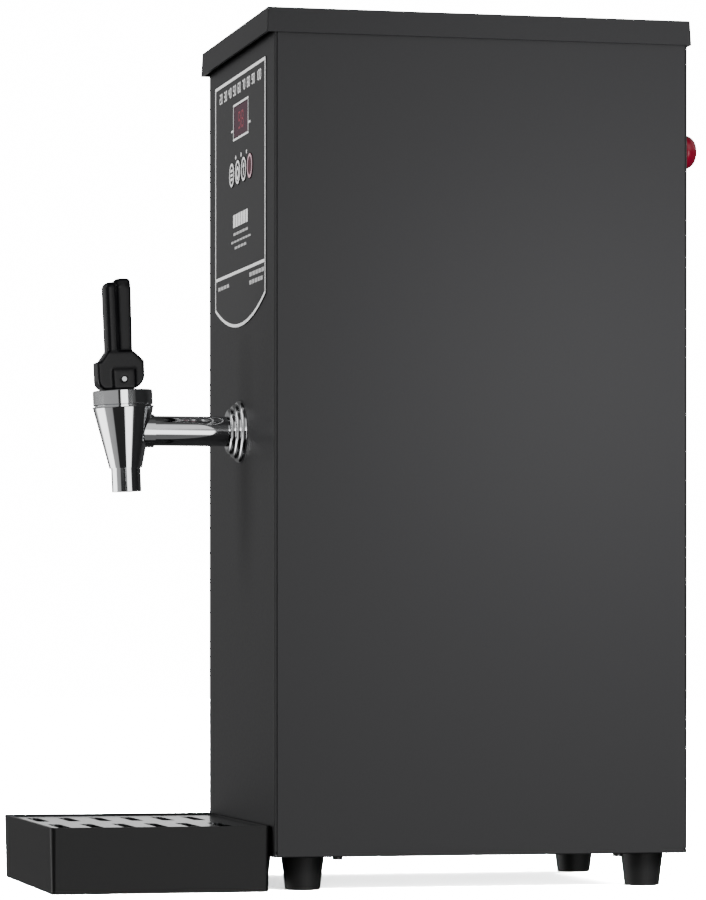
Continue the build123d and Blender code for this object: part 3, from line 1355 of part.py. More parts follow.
with BuildPart() as level_probes:
    for (x, y), depth in zip(PROBE_POINTS, PROBE_DEPTHS):
        with BuildSketch(Plane.XY.offset(TANK_LID_Z - PROBE_BUSH_H / 4)):
            with Locations((x, y)):
                Circle(PROBE_BUSH_R)
        extrude(amount=PROBE_BUSH_H)
        with BuildSketch(Plane.XY.offset(TANK_TOP - depth)):
            with Locations((x, y)):
                Circle(PROBE_R)
        extrude(amount=GASKET_SHEET + PROBE_BUSH_H + depth)
save(level_probes, "level_probes")

with BuildPart() as temperature_probe:
    with BuildSketch(Plane.XY.offset(TANK_TOP - SENSOR_DEPTH)):
        with Locations((SENSOR_X, TANK_Y)):
            Circle(SENSOR_R)
    extrude(amount=GASKET_SHEET + PROBE_BUSH_H + SENSOR_DEPTH)
    with BuildSketch(Plane.XY.offset(BOLT_SEAT)):
        with Locations((SENSOR_X, TANK_Y)):
            RegularPolygon(2 * SENSOR_R, 6)
    extrude(amount=PROBE_BUSH_H / 3)
save(temperature_probe, "temperature_probe")

with BuildPart() as thermal_cutout:
    with BuildSketch(Plane.XY.offset(BOLT_SEAT)):
        with Locations((CUTOUT_X, TANK_Y)):
            SlotOverall(2 * CUTOUT_EAR, CUTOUT_R)
    extrude(amount=SHEET)
    with BuildSketch(Plane.XY.offset(BOLT_SEAT)):
        with Locations((CUTOUT_X, TANK_Y)):
            Circle(CUTOUT_R)
    extrude(amount=CUTOUT_H)
save(thermal_cutout, "thermal_cutout")

VENT_OUT_X = HALF_W - VENT_OUT_INSET
VENT_OUT_Y = BACK_Y - VENT_OUT_SETBACK
with BuildPart() as vent_hose:
    with BuildLine() as vent_route:
        FilletPolyline(
            (VENT_X, TANK_Y + PROBE_PITCH, TANK_LID_Z),
            (VENT_X, TANK_Y + PROBE_PITCH, TANK_LID_Z + VENT_RISE),
            (VENT_OUT_X, VENT_OUT_Y, TANK_LID_Z + VENT_RISE),
            (VENT_OUT_X, VENT_OUT_Y, FLOOR_Z + VENT_FOOT),
            radius=2.5 * VENT_R,
        )
    with BuildSketch(Plane(origin=vent_route.line @ 0, z_dir=vent_route.line % 0)):
        Circle(VENT_R)
        Circle(VENT_BORE_R, mode=Mode.SUBTRACT)
    sweep()
save(vent_hose, "vent_hose")

with BuildPart() as outlet_hose:
    with BuildSketch(behind(FRONT_Y + OUTLET_HOSE_FRONT)):
        with Locations((0, TAP_HEIGHT)):
            Circle(SPIGOT_R + HOSE_WALL)
            Circle(SPIGOT_R, mode=Mode.SUBTRACT)
    extrude(amount=TANK_Y - TANK_R - OUTLET_HOSE_GAP - FRONT_Y - OUTLET_HOSE_FRONT)
save(outlet_hose, "outlet_hose")

# ------------------------------------------------------------------ electrical parts on the base

TERMINAL_POINT = (HALF_W - TERMINAL_INSET, BACK_Y - TERMINAL_SETBACK)
with BuildPart() as terminal_block:
    with BuildSketch(Plane.XY.offset(FLOOR_Z)):
        with Locations(TERMINAL_POINT):
            Rectangle(TERMINAL_SIZE[0], TERMINAL_SIZE[1])
    extrude(amount=TERMINAL_SIZE[2])
    with BuildSketch(Plane.XY.offset(FLOOR_Z + TERMINAL_SIZE[2])):
        with Locations(TERMINAL_POINT):
            with GridLocations(TERMINAL_SIZE[0] / 2, TERMINAL_SIZE[1] / 4, 2, 3):
                Circle(SCREW_HEAD_R)
    extrude(amount=-SCREW_HEAD_R, mode=Mode.SUBTRACT)
save(terminal_block, "terminal_block")

with BuildPart() as heater_relay:
    with BuildSketch(Plane.XY.offset(FLOOR_Z)):
        with Locations((RELAY_INSET - HALF_W, FRONT_Y + RELAY_SETBACK)):
            Rectangle(RELAY_SIZE[0], RELAY_SIZE[1])
    extrude(amount=RELAY_SIZE[2])
    chamfer(heater_relay.faces().sort_by(Axis.Z)[-1].edges(), SHEET)
save(heater_relay, "heater_relay")

with BuildPart() as wiring_loom:
    with BuildLine() as loom_route:
        FilletPolyline(
            (-BOARD_WIDTH / 3, BOARD_Y + BOARD_SHEET + LOOM_R, BOARD_Z - BOARD_HEIGHT / 3),
            (-BOARD_WIDTH / 3, BOARD_Y + BOARD_SHEET + LOOM_R, BOARD_Z - BOARD_HEIGHT),
            (LOOM_INSET - HALF_W, FRONT_Y + LOOM_SETBACK, BOARD_Z - 1.5 * BOARD_HEIGHT),
            (LOOM_INSET - HALF_W, FRONT_Y + LOOM_SETBACK, FLOOR_Z + RELAY_SIZE[2]),
            radius=LOOM_BEND,
        )
    with BuildSketch(Plane(origin=loom_route.line @ 0, z_dir=loom_route.line % 0)):
        Circle(LOOM_R)
    sweep()
save(wiring_loom, "wiring_loom")
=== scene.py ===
from math import asin, cos, pi, radians, sin

import bmesh
import bpy
from mathutils import Euler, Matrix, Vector


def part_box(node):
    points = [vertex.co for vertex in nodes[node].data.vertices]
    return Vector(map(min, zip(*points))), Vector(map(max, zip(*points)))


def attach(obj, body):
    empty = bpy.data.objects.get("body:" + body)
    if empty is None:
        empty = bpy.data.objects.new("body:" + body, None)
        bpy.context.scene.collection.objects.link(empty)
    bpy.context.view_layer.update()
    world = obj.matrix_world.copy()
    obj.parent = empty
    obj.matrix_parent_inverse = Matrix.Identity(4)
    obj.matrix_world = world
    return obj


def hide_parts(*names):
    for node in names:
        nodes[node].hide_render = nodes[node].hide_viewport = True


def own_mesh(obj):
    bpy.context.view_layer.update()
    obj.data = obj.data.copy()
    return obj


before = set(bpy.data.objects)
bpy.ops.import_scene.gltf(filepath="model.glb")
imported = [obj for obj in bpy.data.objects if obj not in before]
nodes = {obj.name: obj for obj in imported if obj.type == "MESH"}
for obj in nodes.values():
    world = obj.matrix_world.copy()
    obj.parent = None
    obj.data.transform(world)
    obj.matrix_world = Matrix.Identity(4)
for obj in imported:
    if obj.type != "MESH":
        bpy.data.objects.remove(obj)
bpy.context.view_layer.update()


# ---- Camera -----------------------------------------------------------------------------
# A level camera a little above the tap's nozzle, three metres off to the right and almost
# square to the side panel, with the film raised so that the whole machine stays upright.
CAMERA_PLACE = (2.9788, -0.6827, 0.1812)
CAMERA_TURN = radians(77.047)
CAMERA_LENS_MM, CAMERA_FILM_MM = 165.576, 36.0
CAMERA_RISE = 0.2066
CAMERA_REACH = 60.0

camera_data = bpy.data.cameras.new("camera")
camera_data.lens = CAMERA_LENS_MM
camera_data.sensor_width = CAMERA_FILM_MM
camera_data.shift_y = CAMERA_RISE
camera_data.clip_end = CAMERA_REACH
camera = bpy.data.objects.new("camera", camera_data)
camera.location = CAMERA_PLACE
camera.rotation_euler = Euler((pi / 2, 0, CAMERA_TURN))
bpy.context.scene.collection.objects.link(camera)
bpy.context.scene.camera = camera


# ---- Folded casing ----------------------------------------------------------------------
# Front pan, rear pan, two side panels and the drop-on lid, all folded from 1 mm steel sheet
# and dipped in one charcoal powder coat, which bakes to a satin skin with a faint orange peel.
COAT_DARK, COAT_LIGHT = "232324", "282829"
COAT_PEEL_MM = 1.6      # the real peel is about 0.8 mm; drawn coarser so that it shows
COAT_PEEL_DEPTH_MM = 0.006
GRAIN_DETAIL, GRAIN_ROUGHNESS = 3.0, 0.55


def linear(hex_colour):
    """The linear colour of an sRGB hex value."""
    parts = [int(hex_colour[i : i + 2], 16) / 255 for i in (0, 2, 4)]
    return [p / 12.92 if p <= 0.04045 else ((p + 0.055) / 1.055) ** 2.4 for p in parts] + [1]


def add(owner, kind, inputs=None, **settings):
    """Adds a node to a material or the world, and sets or links its inputs."""
    made = owner.node_tree.nodes.new(kind)
    for key, value in settings.items():
        setattr(made, key, value)
    for key, value in (inputs or {}).items():
        if isinstance(value, bpy.types.NodeSocket):
            owner.node_tree.links.new(value, made.inputs[key])
        else:
            made.inputs[key].default_value = value
    return made


def finish(
    name, dark, light, grain_mm, roughness, bump_mm, spread=0.06, stretch=(1, 1, 1), **sockets
):
    """A finish whose tone, gloss and relief vary together over a grain of a real size."""
    material = bpy.data.materials.new(name)
    material.use_nodes = True
    material.node_tree.nodes.clear()
    place = add(material, "ShaderNodeTexCoord").outputs["Object"]
    place = add(material, "ShaderNodeMapping", {"Vector": place, "Scale": stretch}).outputs[0]
    grain = add(
        material, "ShaderNodeTexNoise",
        {"Vector": place, "Scale": 1000 / grain_mm, "Detail": GRAIN_DETAIL,
         "Roughness": GRAIN_ROUGHNESS},
    ).outputs["Fac"]
    tone = add(
        material, "ShaderNodeMix",
        {0: grain, 6: linear(dark), 7: linear(light)}, data_type="RGBA",
    ).outputs[2]
    gloss = add(
        material, "ShaderNodeMapRange",
        {"Value": grain, "To Min": roughness - spread, "To Max": roughness + spread},
    ).outputs[0]
    relief = add(
        material, "ShaderNodeBump",
        {"Height": grain, "Distance": bump_mm / 1000, "Strength": 1.0},
    ).outputs[0]
    shader = add(
        material, "ShaderNodeBsdfPrincipled",
        {"Base Color": tone, "Roughness": gloss, "Normal": relief,
         **{key.replace("_", " "): value for key, value in sockets.items()}},
    ).outputs[0]
    add(material, "ShaderNodeOutputMaterial", {"Surface": shader})
    return material


def dress(material, *names):
    """Gives CAD nodes one material all over."""
    for name in names:
        mesh = nodes[name].data
        mesh.materials.clear()
        mesh.materials.append(material)


satin_powder_coat = finish(
    "satin_powder_coat", COAT_DARK, COAT_LIGHT, grain_mm=COAT_PEEL_MM, roughness=0.42,
    bump_mm=COAT_PEEL_DEPTH_MM, IOR=1.5, Specular_IOR_Level=0.22,
)
dress(
    satin_powder_coat,
    "front_panel", "rear_panel", "left_side_panel", "right_side_panel", "top_lid",
)


# ---- Screws, standoffs and nuts ---------------------------------------------------------
# Cross-recessed M4 screws hold the lid and the base, M6 screws hold the feet. They are mild
# steel, barrelled in bright zinc, so they look pale and slightly bluish with worn gloss; the
# base's own screws are passivated black, to go with the casing round them.
ZINC_DARK, ZINC_LIGHT = "8C9096", "C3C7CB"
BLACK_ZINC_DARK, BLACK_ZINC_LIGHT = "131314", "1F1F21"

bright_zinc = finish(
    "bright_zinc", ZINC_DARK, ZINC_LIGHT,
    grain_mm=0.8, roughness=0.3, bump_mm=0.01, spread=0.08, Metallic=1.0,
)
dress(
    bright_zinc,
    "board_standoffs", "foot_nuts", "foot_screws", "lid_screws", "shank_nut", "tank_lid_bolts",
)
black_zinc = finish(
    "black_zinc", BLACK_ZINC_DARK, BLACK_ZINC_LIGHT,
    grain_mm=0.8, roughness=0.34, bump_mm=0.01, IOR=1.8,
)
dress(black_zinc, "base_screws")


# ---- Feet -------------------------------------------------------------------------------
# Four tapered feet pressed from black natural rubber: matt, with a dusty bloom. One M6 screw
# holds each of them under the base pan.
RUBBER_DARK, RUBBER_LIGHT = "141414", "232323"

pressed_rubber = finish(
    "pressed_rubber", RUBBER_DARK, RUBBER_LIGHT,
    grain_mm=1.2, roughness=0.62, bump_mm=0.02, IOR=1.5,
)
dress(pressed_rubber, "rubber_feet")


# ---- Boiler, stand and stainless fittings -----------------------------------------------
# Deep-drawn and welded 304 stainless: the tank with its lid, the stand, the base pan, the
# drain pipe, the probes and the element, and the tap's stem, spring and pin. Cold-rolled
# sheet keeps fine lines from the rolls.
STEEL_DARK, STEEL_LIGHT = "96989A", "C8C9CA"

rolled_stainless = finish(
    "rolled_stainless", STEEL_DARK, STEEL_LIGHT,
    grain_mm=0.9, roughness=0.28, bump_mm=0.004, spread=0.05, stretch=(1, 1, 0.04), Metallic=1.0,
)
dress(
    rolled_stainless,
    "base_pan", "drain_pipe", "heating_element", "level_probes", "tank_lid",
    "tank_shell", "tank_stand", "tap_spring", "tap_stem", "handle_pin", "temperature_probe",
)


# ---- Insulation -------------------------------------------------------------------------
# A wrap of pale closed-cell foam round the tank, cut from 13 mm sheet: dull, with open cells
# where the knife went through.
FOAM_DARK, FOAM_LIGHT = "B9B3A4", "DAD6CA"

closed_cell_foam = finish(
    "closed_cell_foam", FOAM_DARK, FOAM_LIGHT,
    grain_mm=2.5, roughness=0.85, bump_mm=0.25, IOR=1.4,
)
dress(closed_cell_foam, "insulation_jacket")


# ---- Hoses, gasket and seat cup ---------------------------------------------------------
# Extruded and moulded silicone rubber, milky white with a soft gloss. The hoses are pushed
# over their spigots.
SILICONE_DARK, SILICONE_LIGHT = "CFCBC2", "E4E1DA"

milky_silicone = finish(
    "milky_silicone", SILICONE_DARK, SILICONE_LIGHT,
    grain_mm=3.0, roughness=0.42, bump_mm=0.01, IOR=1.41,
)
dress(
    milky_silicone,
    "inlet_hose", "outlet_hose", "seat_cup", "shank_washer", "tank_gasket", "vent_hose",
)


# ---- Brass fittings ---------------------------------------------------------------------
# The water inlet and the drain cap are turned from brass bar and left bright. They stand out
# through the rear panel.
BRASS_DARK, BRASS_LIGHT = "A98444", "D2B06A"

turned_brass = finish(
    "turned_brass", BRASS_DARK, BRASS_LIGHT,
    grain_mm=0.5, roughness=0.26, bump_mm=0.006, spread=0.05, Metallic=1.0,
)
dress(turned_brass, "drain_cap", "inlet_fitting")


# ---- Electrical parts -------------------------------------------------------------------
# Relay, tact switches, power switch, cut-out, cable gland and the loom's sleeve are black
# nylon; the display carrier, valve and terminal block are white nylon. The board is green
# glass-epoxy.
BLACK_NYLON_DARK, BLACK_NYLON_LIGHT = "121213", "1D1D1F"
WHITE_NYLON_DARK, WHITE_NYLON_LIGHT = "D6D4CC", "E9E7E1"
BOARD_DARK, BOARD_LIGHT = "0D4A26", "17683A"

black_nylon = finish(
    "black_nylon", BLACK_NYLON_DARK, BLACK_NYLON_LIGHT,
    grain_mm=0.9, roughness=0.46, bump_mm=0.015, IOR=1.53,
)
dress(
    black_nylon,
    "cable_gland", "heater_relay", "switch_body", "switch_rocker", "tact_switches",
    "thermal_cutout", "wiring_loom",
)
white_nylon = finish(
    "white_nylon", WHITE_NYLON_DARK, WHITE_NYLON_LIGHT,
    grain_mm=1.2, roughness=0.4, bump_mm=0.01, IOR=1.53,
)
dress(white_nylon, "display_module", "inlet_valve", "terminal_block")
glass_epoxy = finish(
    "glass_epoxy", BOARD_DARK, BOARD_LIGHT,
    grain_mm=2.2, roughness=0.3, bump_mm=0.02, IOR=1.55,
)
dress(glass_epoxy, "control_board")


# ---- Power switch boot ------------------------------------------------------------------
# A waterproof cap moulded from red PVC, fitted over a black rocker switch. A very faint red
# glow is painted into the cap as emission, though nothing under it is lit.
BOOT_DARK, BOOT_LIGHT = "4C0614", "600A1E"
BOOT_PAINTED_GLOW, BOOT_PAINTED_GLOW_STRENGTH = "FF1038", 0.02

red_pvc_painted_glow = finish(
    "red_pvc_painted_glow", BOOT_DARK, BOOT_LIGHT,
    grain_mm=4.0, roughness=0.2, bump_mm=0.02, spread=0.04, IOR=1.54,
    # painted glow: a faint red emission on a cap with no lamp under it
    Emission_Color=linear(BOOT_PAINTED_GLOW), Emission_Strength=BOOT_PAINTED_GLOW_STRENGTH,
)
dress(red_pvc_painted_glow, "switch_boot")


# ---- Tap --------------------------------------------------------------------------------
# Body, bonnet, nozzle, shank and the stepped wall plate are turned brass under polished
# chrome: a mirror with hardly any grain, which only softens the edges of what it reflects.
CHROME_DARK, CHROME_LIGHT = "D9DADC", "E9EAEB"

polished_chrome = finish(
    "polished_chrome", CHROME_DARK, CHROME_LIGHT,
    grain_mm=6.0, roughness=0.045, bump_mm=0.0006, spread=0.015, Metallic=1.0,
)
dress(polished_chrome, "tap_body", "tap_bonnet", "tap_nozzle", "tap_shank")


# ---- Wall plate of the tap --------------------------------------------------------------
# A chromed plate with three steps, slid over the shank up to the front panel. The steps are
# turned with full rounds, on the radii of the solid plate, so that each rim mirrors a wide
# view.
PLATE_RADII_MM = (23.2, 20.2, 17.0, 13.8)
PLATE_BORE_MM = 11.15
PLATE_SEGMENTS, ROUND_POINTS = 96, 9
PLATE_CREASE = radians(34)

plate_low, plate_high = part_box("tap_escutcheon")
plate_step = (plate_high.y - plate_low.y) / (len(PLATE_RADII_MM) - 1)
plate_z = (plate_low.z + plate_high.z) / 2
section = [(plate_high.y, PLATE_BORE_MM / 1000)]
for order, (outer, inner) in enumerate(zip(PLATE_RADII_MM, PLATE_RADII_MM[1:])):
    for i in range(ROUND_POINTS):
        t = pi / 2 * i / (ROUND_POINTS - 1)
        y = plate_high.y - plate_step * (order + sin(t))
        section.append((y, (inner + (outer - inner) * cos(t)) / 1000))
section.append((plate_low.y, PLATE_BORE_MM / 1000))
turned = bmesh.new()
circles = [
    [turned.verts.new((r * cos(a), y, plate_z + r * sin(a)))
     for a in (2 * pi * i / PLATE_SEGMENTS for i in range(PLATE_SEGMENTS))]
    for y, r in section
]
for circle, following in zip(circles, circles[1:] + circles[:1]):
    for i in range(PLATE_SEGMENTS):
        j = (i + 1) % PLATE_SEGMENTS
        turned.faces.new((circle[i], circle[j], following[j], following[i]))
bmesh.ops.recalc_face_normals(turned, faces=turned.faces)
plate_data = bpy.data.meshes.new("rounded_wall_plate")
turned.to_mesh(plate_data)
turned.free()
plate_data.shade_smooth()
plate_data.set_sharp_from_angle(angle=PLATE_CREASE)
plate_data.materials.append(polished_chrome)
plate = bpy.data.objects.new("rounded_wall_plate", plate_data)
bpy.context.scene.collection.objects.link(plate)
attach(plate, "casing")
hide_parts("tap_escutcheon")


# ---- Tap spring -------------------------------------------------------------------------
# A stainless compression coil between the bonnet and the collar of the stem. The collar lifts its
# foot, so the coil shortens towards the bonnet while the tap is open; this copy keeps one length.
STEM_AXIS = (0, -0.0436194, 0.9990482)      # the tap leans forward by 2.5 degrees

coil = bpy.data.objects.new("tap_coil", nodes["tap_spring"].data.copy())
bpy.context.scene.collection.objects.link(coil)
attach(coil, "casing")
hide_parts("tap_spring")
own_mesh(coil)


# ---- Tap handle -------------------------------------------------------------------------
# The cam lever is moulded from black phenolic and tumbled to a gloss, which rounds its edges
# and its tip most of all. A cross pin joins it to the stem.
LEVER_DARK, LEVER_LIGHT = "070708", "0C0C0E"
LEVER_VOXEL_MM = 0.55
TUMBLE_SHARE = 0.6
EDGE_PASSES, TIP_PASSES = 12, 90
TIP_HEIGHT_MM = 7.0

gloss_phenolic = finish(
    "gloss_phenolic", LEVER_DARK, LEVER_LIGHT,
    grain_mm=5.0, roughness=0.22, bump_mm=0.006, spread=0.04, IOR=1.4, Specular_IOR_Level=0.27,
)


def tumble(piece, name, passes, group=""):
    """Rounds the piece, or one group of its points, a little more with each pass."""
    rounding = piece.modifiers.new(name, "SMOOTH")
    rounding.vertex_group = group
    rounding.factor = TUMBLE_SHARE
    rounding.iterations = passes


def settle(piece):
    """Bakes the piece's modifiers into its mesh."""
    bpy.context.view_layer.update()
    shaped = piece.evaluated_get(bpy.context.evaluated_depsgraph_get())
    mesh = bpy.data.meshes.new_from_object(shaped)
    piece.modifiers.clear()
    piece.vertex_groups.clear()
    piece.data = mesh
    return mesh


lever = bpy.data.objects.new("soft_tap_handle", nodes["tap_handle"].data.copy())
bpy.context.scene.collection.objects.link(lever)
voxels = lever.modifiers.new("even_skin", "REMESH")
voxels.mode = "VOXEL"
voxels.voxel_size = LEVER_VOXEL_MM / 1000
voxels.use_smooth_shade = True
tumble(lever, "tumbled_edges", EDGE_PASSES)
skin = settle(lever)
tip_from = max(v.co.z for v in skin.vertices) - TIP_HEIGHT_MM / 1000
tip = lever.vertex_groups.new(name="tip")
tip.add([v.index for v in skin.vertices if v.co.z > tip_from], 1.0, "REPLACE")
tumble(lever, "rounded_tip", TIP_PASSES, "tip")
skin = settle(lever)
skin.materials.clear()
skin.materials.append(gloss_phenolic)
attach(lever, "tap_lever")
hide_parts("tap_handle")


# ---- Drip tray and grille ---------------------------------------------------------------
# The tray is moulded from black ABS with a fine spark-eroded texture. The loose grille is
# punched from bright-rolled stainless sheet, with faint lines across the machine.
TRAY_DARK, TRAY_LIGHT = "0B0B0B", "121213"
GRILLE_DARK, GRILLE_LIGHT = "909294", "B1B2B3"

eroded_abs = finish(
    "eroded_abs", TRAY_DARK, TRAY_LIGHT,
    grain_mm=1.0, roughness=0.42, bump_mm=0.02, IOR=1.54, Specular_IOR_Level=0.2,
)
dress(eroded_abs, "drip_tray")
bright_rolled_steel = finish(
    "bright_rolled_steel", GRILLE_DARK, GRILLE_LIGHT,
    grain_mm=1.1, roughness=0.2, bump_mm=0.003, spread=0.05, stretch=(0.05, 1, 1), Metallic=1.0,
)
dress(bright_rolled_steel, "drip_grille")


# ---- Control film, window and keys ------------------------------------------------------
# A polyester film, printed charcoal on its back and textured on its face, covers the board.
# The window over the display is dark red acrylic. The four round keys are moulded caps.
FILM_DARK, FILM_LIGHT = "202021", "262627"
WINDOW_DARK, WINDOW_LIGHT = "341624", "421E30"
KEY_DARK, KEY_LIGHT = "151516", "1B1B1C"
RED_KEY_DARK, RED_KEY_LIGHT = "36141E", "441C28"

textured_polyester = finish(
    "textured_polyester", FILM_DARK, FILM_LIGHT,
    grain_mm=1.0, roughness=0.42, bump_mm=0.006, IOR=1.57, Specular_IOR_Level=0.35,
)
dress(textured_polyester, "control_overlay")
red_acrylic = finish(
    "red_acrylic", WINDOW_DARK, WINDOW_LIGHT,
    grain_mm=8.0, roughness=0.18, bump_mm=0.001, spread=0.02, IOR=1.49, Specular_IOR_Level=0.1,
)
dress(red_acrylic, "display_lens")
black_key_cap = finish(
    "black_key_cap", KEY_DARK, KEY_LIGHT, grain_mm=1.0, roughness=0.38, bump_mm=0.006, IOR=1.53
)
dress(black_key_cap, "power_key", "set_key", "raise_key")
red_key_cap = finish(
    "red_key_cap", RED_KEY_DARK, RED_KEY_LIGHT,
    grain_mm=1.0, roughness=0.38, bump_mm=0.006, IOR=1.53,
)
dress(red_key_cap, "lower_key")


# ---- Print on the control film ----------------------------------------------------------
# Screen ink, white or grey: a border line with a sagging foot, a dividing line, the frame of
# the window, three lamp dots, a plain temperature scale of numbers, a row of blocks and
# broken rules. The window shows two lit figures. All places and sizes are in mm.
WHITE_INK_DARK, WHITE_INK_LIGHT = "EAEAEA", "F6F6F6"
GREY_INK_DARK, GREY_INK_LIGHT = "A8A8A8", "C0C0C0"
SEGMENT_DARK, SEGMENT_LIGHT = "6A2A3A", "78303F"
SEGMENT_GLOW, SEGMENT_GLOW_STRENGTH = "FF2840", 0.05
INK_MM, SEGMENT_MM = 0.05, 0.03
MITRE_LIMIT = 0.3
WELD = 1e-7
BORDER_LINE, BORDER_INSET, BORDER_SAG, SAG_STEPS = 2.3, 1.4, 17.0, 20
DIVIDER_LINE, DIVIDER_Z = 2.3, 449.0
FRAME_LINE, FRAME_SIDE_LINE, FRAME_GAP = 1.6, 2.4, 0.3
TICK_LENGTH, TICK_Z, TICK_GAP = 7.0, 554.4, 0.4
DISPLAY_FIGURES = "98"
FIGURE_X, FIGURE_Z, FIGURE_WIDTH, FIGURE_HEIGHT, FIGURE_PITCH, FIGURE_LINE = (
    -5.5, 554.5, 7.0, 11.0, 11.0, 1.6
)
LAMP_R, LAMP_Z, LAMP_X = 1.6, 533.8, (-14.5, 5.3, 25.1)
SCALE_NUMBERS = "20 30 40 50 60 70 80 90 100"
SCALE_X, SCALE_Z, SCALE_WIDTH, SCALE_HEIGHT, SCALE_PITCH, SCALE_LINE = (
    -75.0, 580.6, 3.6, 6.4, 5.7, 1.2
)
BLOCK_X, BLOCK_Z, BLOCK_WIDTH, BLOCK_HEIGHT, BLOCK_PITCH, BLOCKS = -24.0, 482.6, 7.4, 9.4, 9.2, 6
RULES = (       # from x, to x, z, width, dashes
    (-23.0, 30.0, 477.6, 1.9, 5), (-31.0, 40.0, 472.0, 1.5, 7), (-18.5, 24.0, 467.3, 1.9, 4),
    (-81.0, -40.0, 441.6, 2.6, 4), (36.0, 88.0, 443.2, 3.0, 5), (36.0, 83.0, 437.4, 3.0, 5),
)
RULE_GAP = 1.8

screen_ink = finish(
    "screen_ink", WHITE_INK_DARK, WHITE_INK_LIGHT,
    grain_mm=0.7, roughness=0.5, bump_mm=0.004, IOR=1.5,
)
lit_segments = finish(
    "lit_segments", SEGMENT_DARK, SEGMENT_LIGHT,
    grain_mm=2.0, roughness=0.3, bump_mm=0.002, IOR=1.49,
    Emission_Color=linear(SEGMENT_GLOW), Emission_Strength=SEGMENT_GLOW_STRENGTH,
)
faint_ink = finish(
    "faint_ink", GREY_INK_DARK, GREY_INK_LIGHT,
    grain_mm=0.7, roughness=0.5, bump_mm=0.004, IOR=1.5,
)


def stroke(line, width, closed=False):
    """The faces of an even line of ink, mitred where it turns."""
    line = [Vector(point) for point in line]
    count = len(line)
    sides = []
    for i, point in enumerate(line):
        before = (point - line[i - 1]).normalized() if i or closed else None
        after = (line[(i + 1) % count] - point).normalized() if i < count - 1 or closed else None
        before, after = before or after, after or before
        across = Vector((-before.y - after.y, before.x + after.x)).normalized()
        across *= width / 2 / max(MITRE_LIMIT, across.dot(Vector((-before.y, before.x))))
        sides.append((point + across, point - across))
    if closed:
        sides.append(sides[0])
    return [[a[0], b[0], b[1], a[1]] for a, b in zip(sides, sides[1:])]


def disc(x, z, radius, count=32):
    """A round dot of ink."""
    return [[Vector((x + radius * cos(t), z + radius * sin(t)))
             for t in (2 * pi * i / count for i in range(count))]]


def lay_ink(name, faces, behind, body, material=screen_ink, depth=INK_MM):
    """Lays flat shapes of ink, drawn in x and z, on the front of a node."""
    face_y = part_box(behind)[0].y * 1000
    mesh = bmesh.new()
    for face in faces:
        corners = [mesh.verts.new((p[0] / 1000, face_y / 1000, p[1] / 1000)) for p in face]
        mesh.faces.new(corners)
    bmesh.ops.remove_doubles(mesh, verts=mesh.verts, dist=WELD)
    rims = [edge.verts[:] for edge in mesh.edges if edge.is_boundary]
    thickness = Vector((0, depth / 1000, 0))
    raised = {corner: mesh.verts.new(corner.co - thickness) for corner in mesh.verts[:]}
    for face in mesh.faces[:]:
        mesh.faces.new([raised[corner] for corner in face.verts])
    for a, b in rims:
        mesh.faces.new((a, b, raised[b], raised[a]))
    bmesh.ops.recalc_face_normals(mesh, faces=mesh.faces)
    data = bpy.data.meshes.new(name)
    mesh.to_mesh(data)
    mesh.free()
    data.materials.append(material)
    piece = bpy.data.objects.new(name, data)
    bpy.context.scene.collection.objects.link(piece)
    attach(piece, body)


def numeral(figure, x, z, width, height, line):
    """A figure drawn with the seven straight strokes of a counter."""
    corners = {
        "a": ((0, 2), (1, 2)), "b": ((1, 2), (1, 1)), "c": ((1, 1), (1, 0)), "d": ((0, 0), (1, 0)),
        "e": ((0, 0), (0, 1)), "f": ((0, 1), (0, 2)), "g": ((0, 1), (1, 1)),
    }
    strokes = {
        "0": "abcdef", "1": "bc", "2": "abged", "3": "abgcd", "4": "fgbc", "5": "afgcd",
        "6": "afgedc", "7": "abc", "8": "abcdefg", "9": "abcdfg",
    }
    faces = []
    for name in strokes[figure]:
        ends = [Vector((x + width * u, z + height / 2 * v)) for u, v in corners[name]]
        faces += stroke(ends, line)
    return faces


film_low, film_high = [corner * 1000 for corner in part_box("control_overlay")]
half = film_high.x - BORDER_INSET
top, foot = film_high.z - BORDER_INSET, film_low.z + BORDER_INSET
sag_r = (half ** 2 + BORDER_SAG ** 2) / 2 / BORDER_SAG
sag_turn = asin(half / sag_r)
border = [(half, top), (-half, top)] + [
    (sag_r * sin(t), foot + sag_r * (1 - cos(t)))
    for t in (sag_turn * (i / SAG_STEPS - 1) for i in range(2 * SAG_STEPS + 1))
]
lay_ink("film_border", stroke(border, BORDER_LINE, True), "control_overlay", "casing")
lay_ink(
    "film_divider", stroke([(-half, DIVIDER_Z), (half, DIVIDER_Z)], DIVIDER_LINE),
    "control_overlay", "casing",
)
display_low, display_high = [corner * 1000 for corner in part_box("display_module")]
frame_left, frame_right = display_low.x - FRAME_SIDE_LINE, display_high.x + FRAME_SIDE_LINE
frame_lines, frame_sides = [], []
for edge_z, way in ((display_low.z, -1), (display_high.z, 1)):
    z = edge_z + way * (FRAME_LINE / 2 + FRAME_GAP)
    frame_lines += stroke([(frame_left, z), (frame_right, z)], FRAME_LINE)
for edge_x, way in ((display_low.x, -1), (display_high.x, 1)):
    x = edge_x + way * (FRAME_SIDE_LINE / 2 + FRAME_GAP)
    frame_sides += stroke([(x, display_low.z), (x, display_high.z)], FRAME_SIDE_LINE)
    start = edge_x + way * (FRAME_SIDE_LINE + TICK_GAP)
    frame_lines += stroke([(start, TICK_Z), (start + way * TICK_LENGTH, TICK_Z)], FRAME_LINE)
lay_ink("window_frame", frame_lines, "control_overlay", "casing")
lay_ink("window_frame_sides", frame_sides, "control_overlay", "casing", faint_ink)
digits = []
for order, figure in enumerate(DISPLAY_FIGURES):
    x = FIGURE_X + order * FIGURE_PITCH
    digits += numeral(figure, x, FIGURE_Z, FIGURE_WIDTH, FIGURE_HEIGHT, FIGURE_LINE)
lay_ink("display_figures", digits, "display_lens", "casing", lit_segments, SEGMENT_MM)
lamp_dots = []
for x in LAMP_X:
    lamp_dots += disc(x, LAMP_Z, LAMP_R)
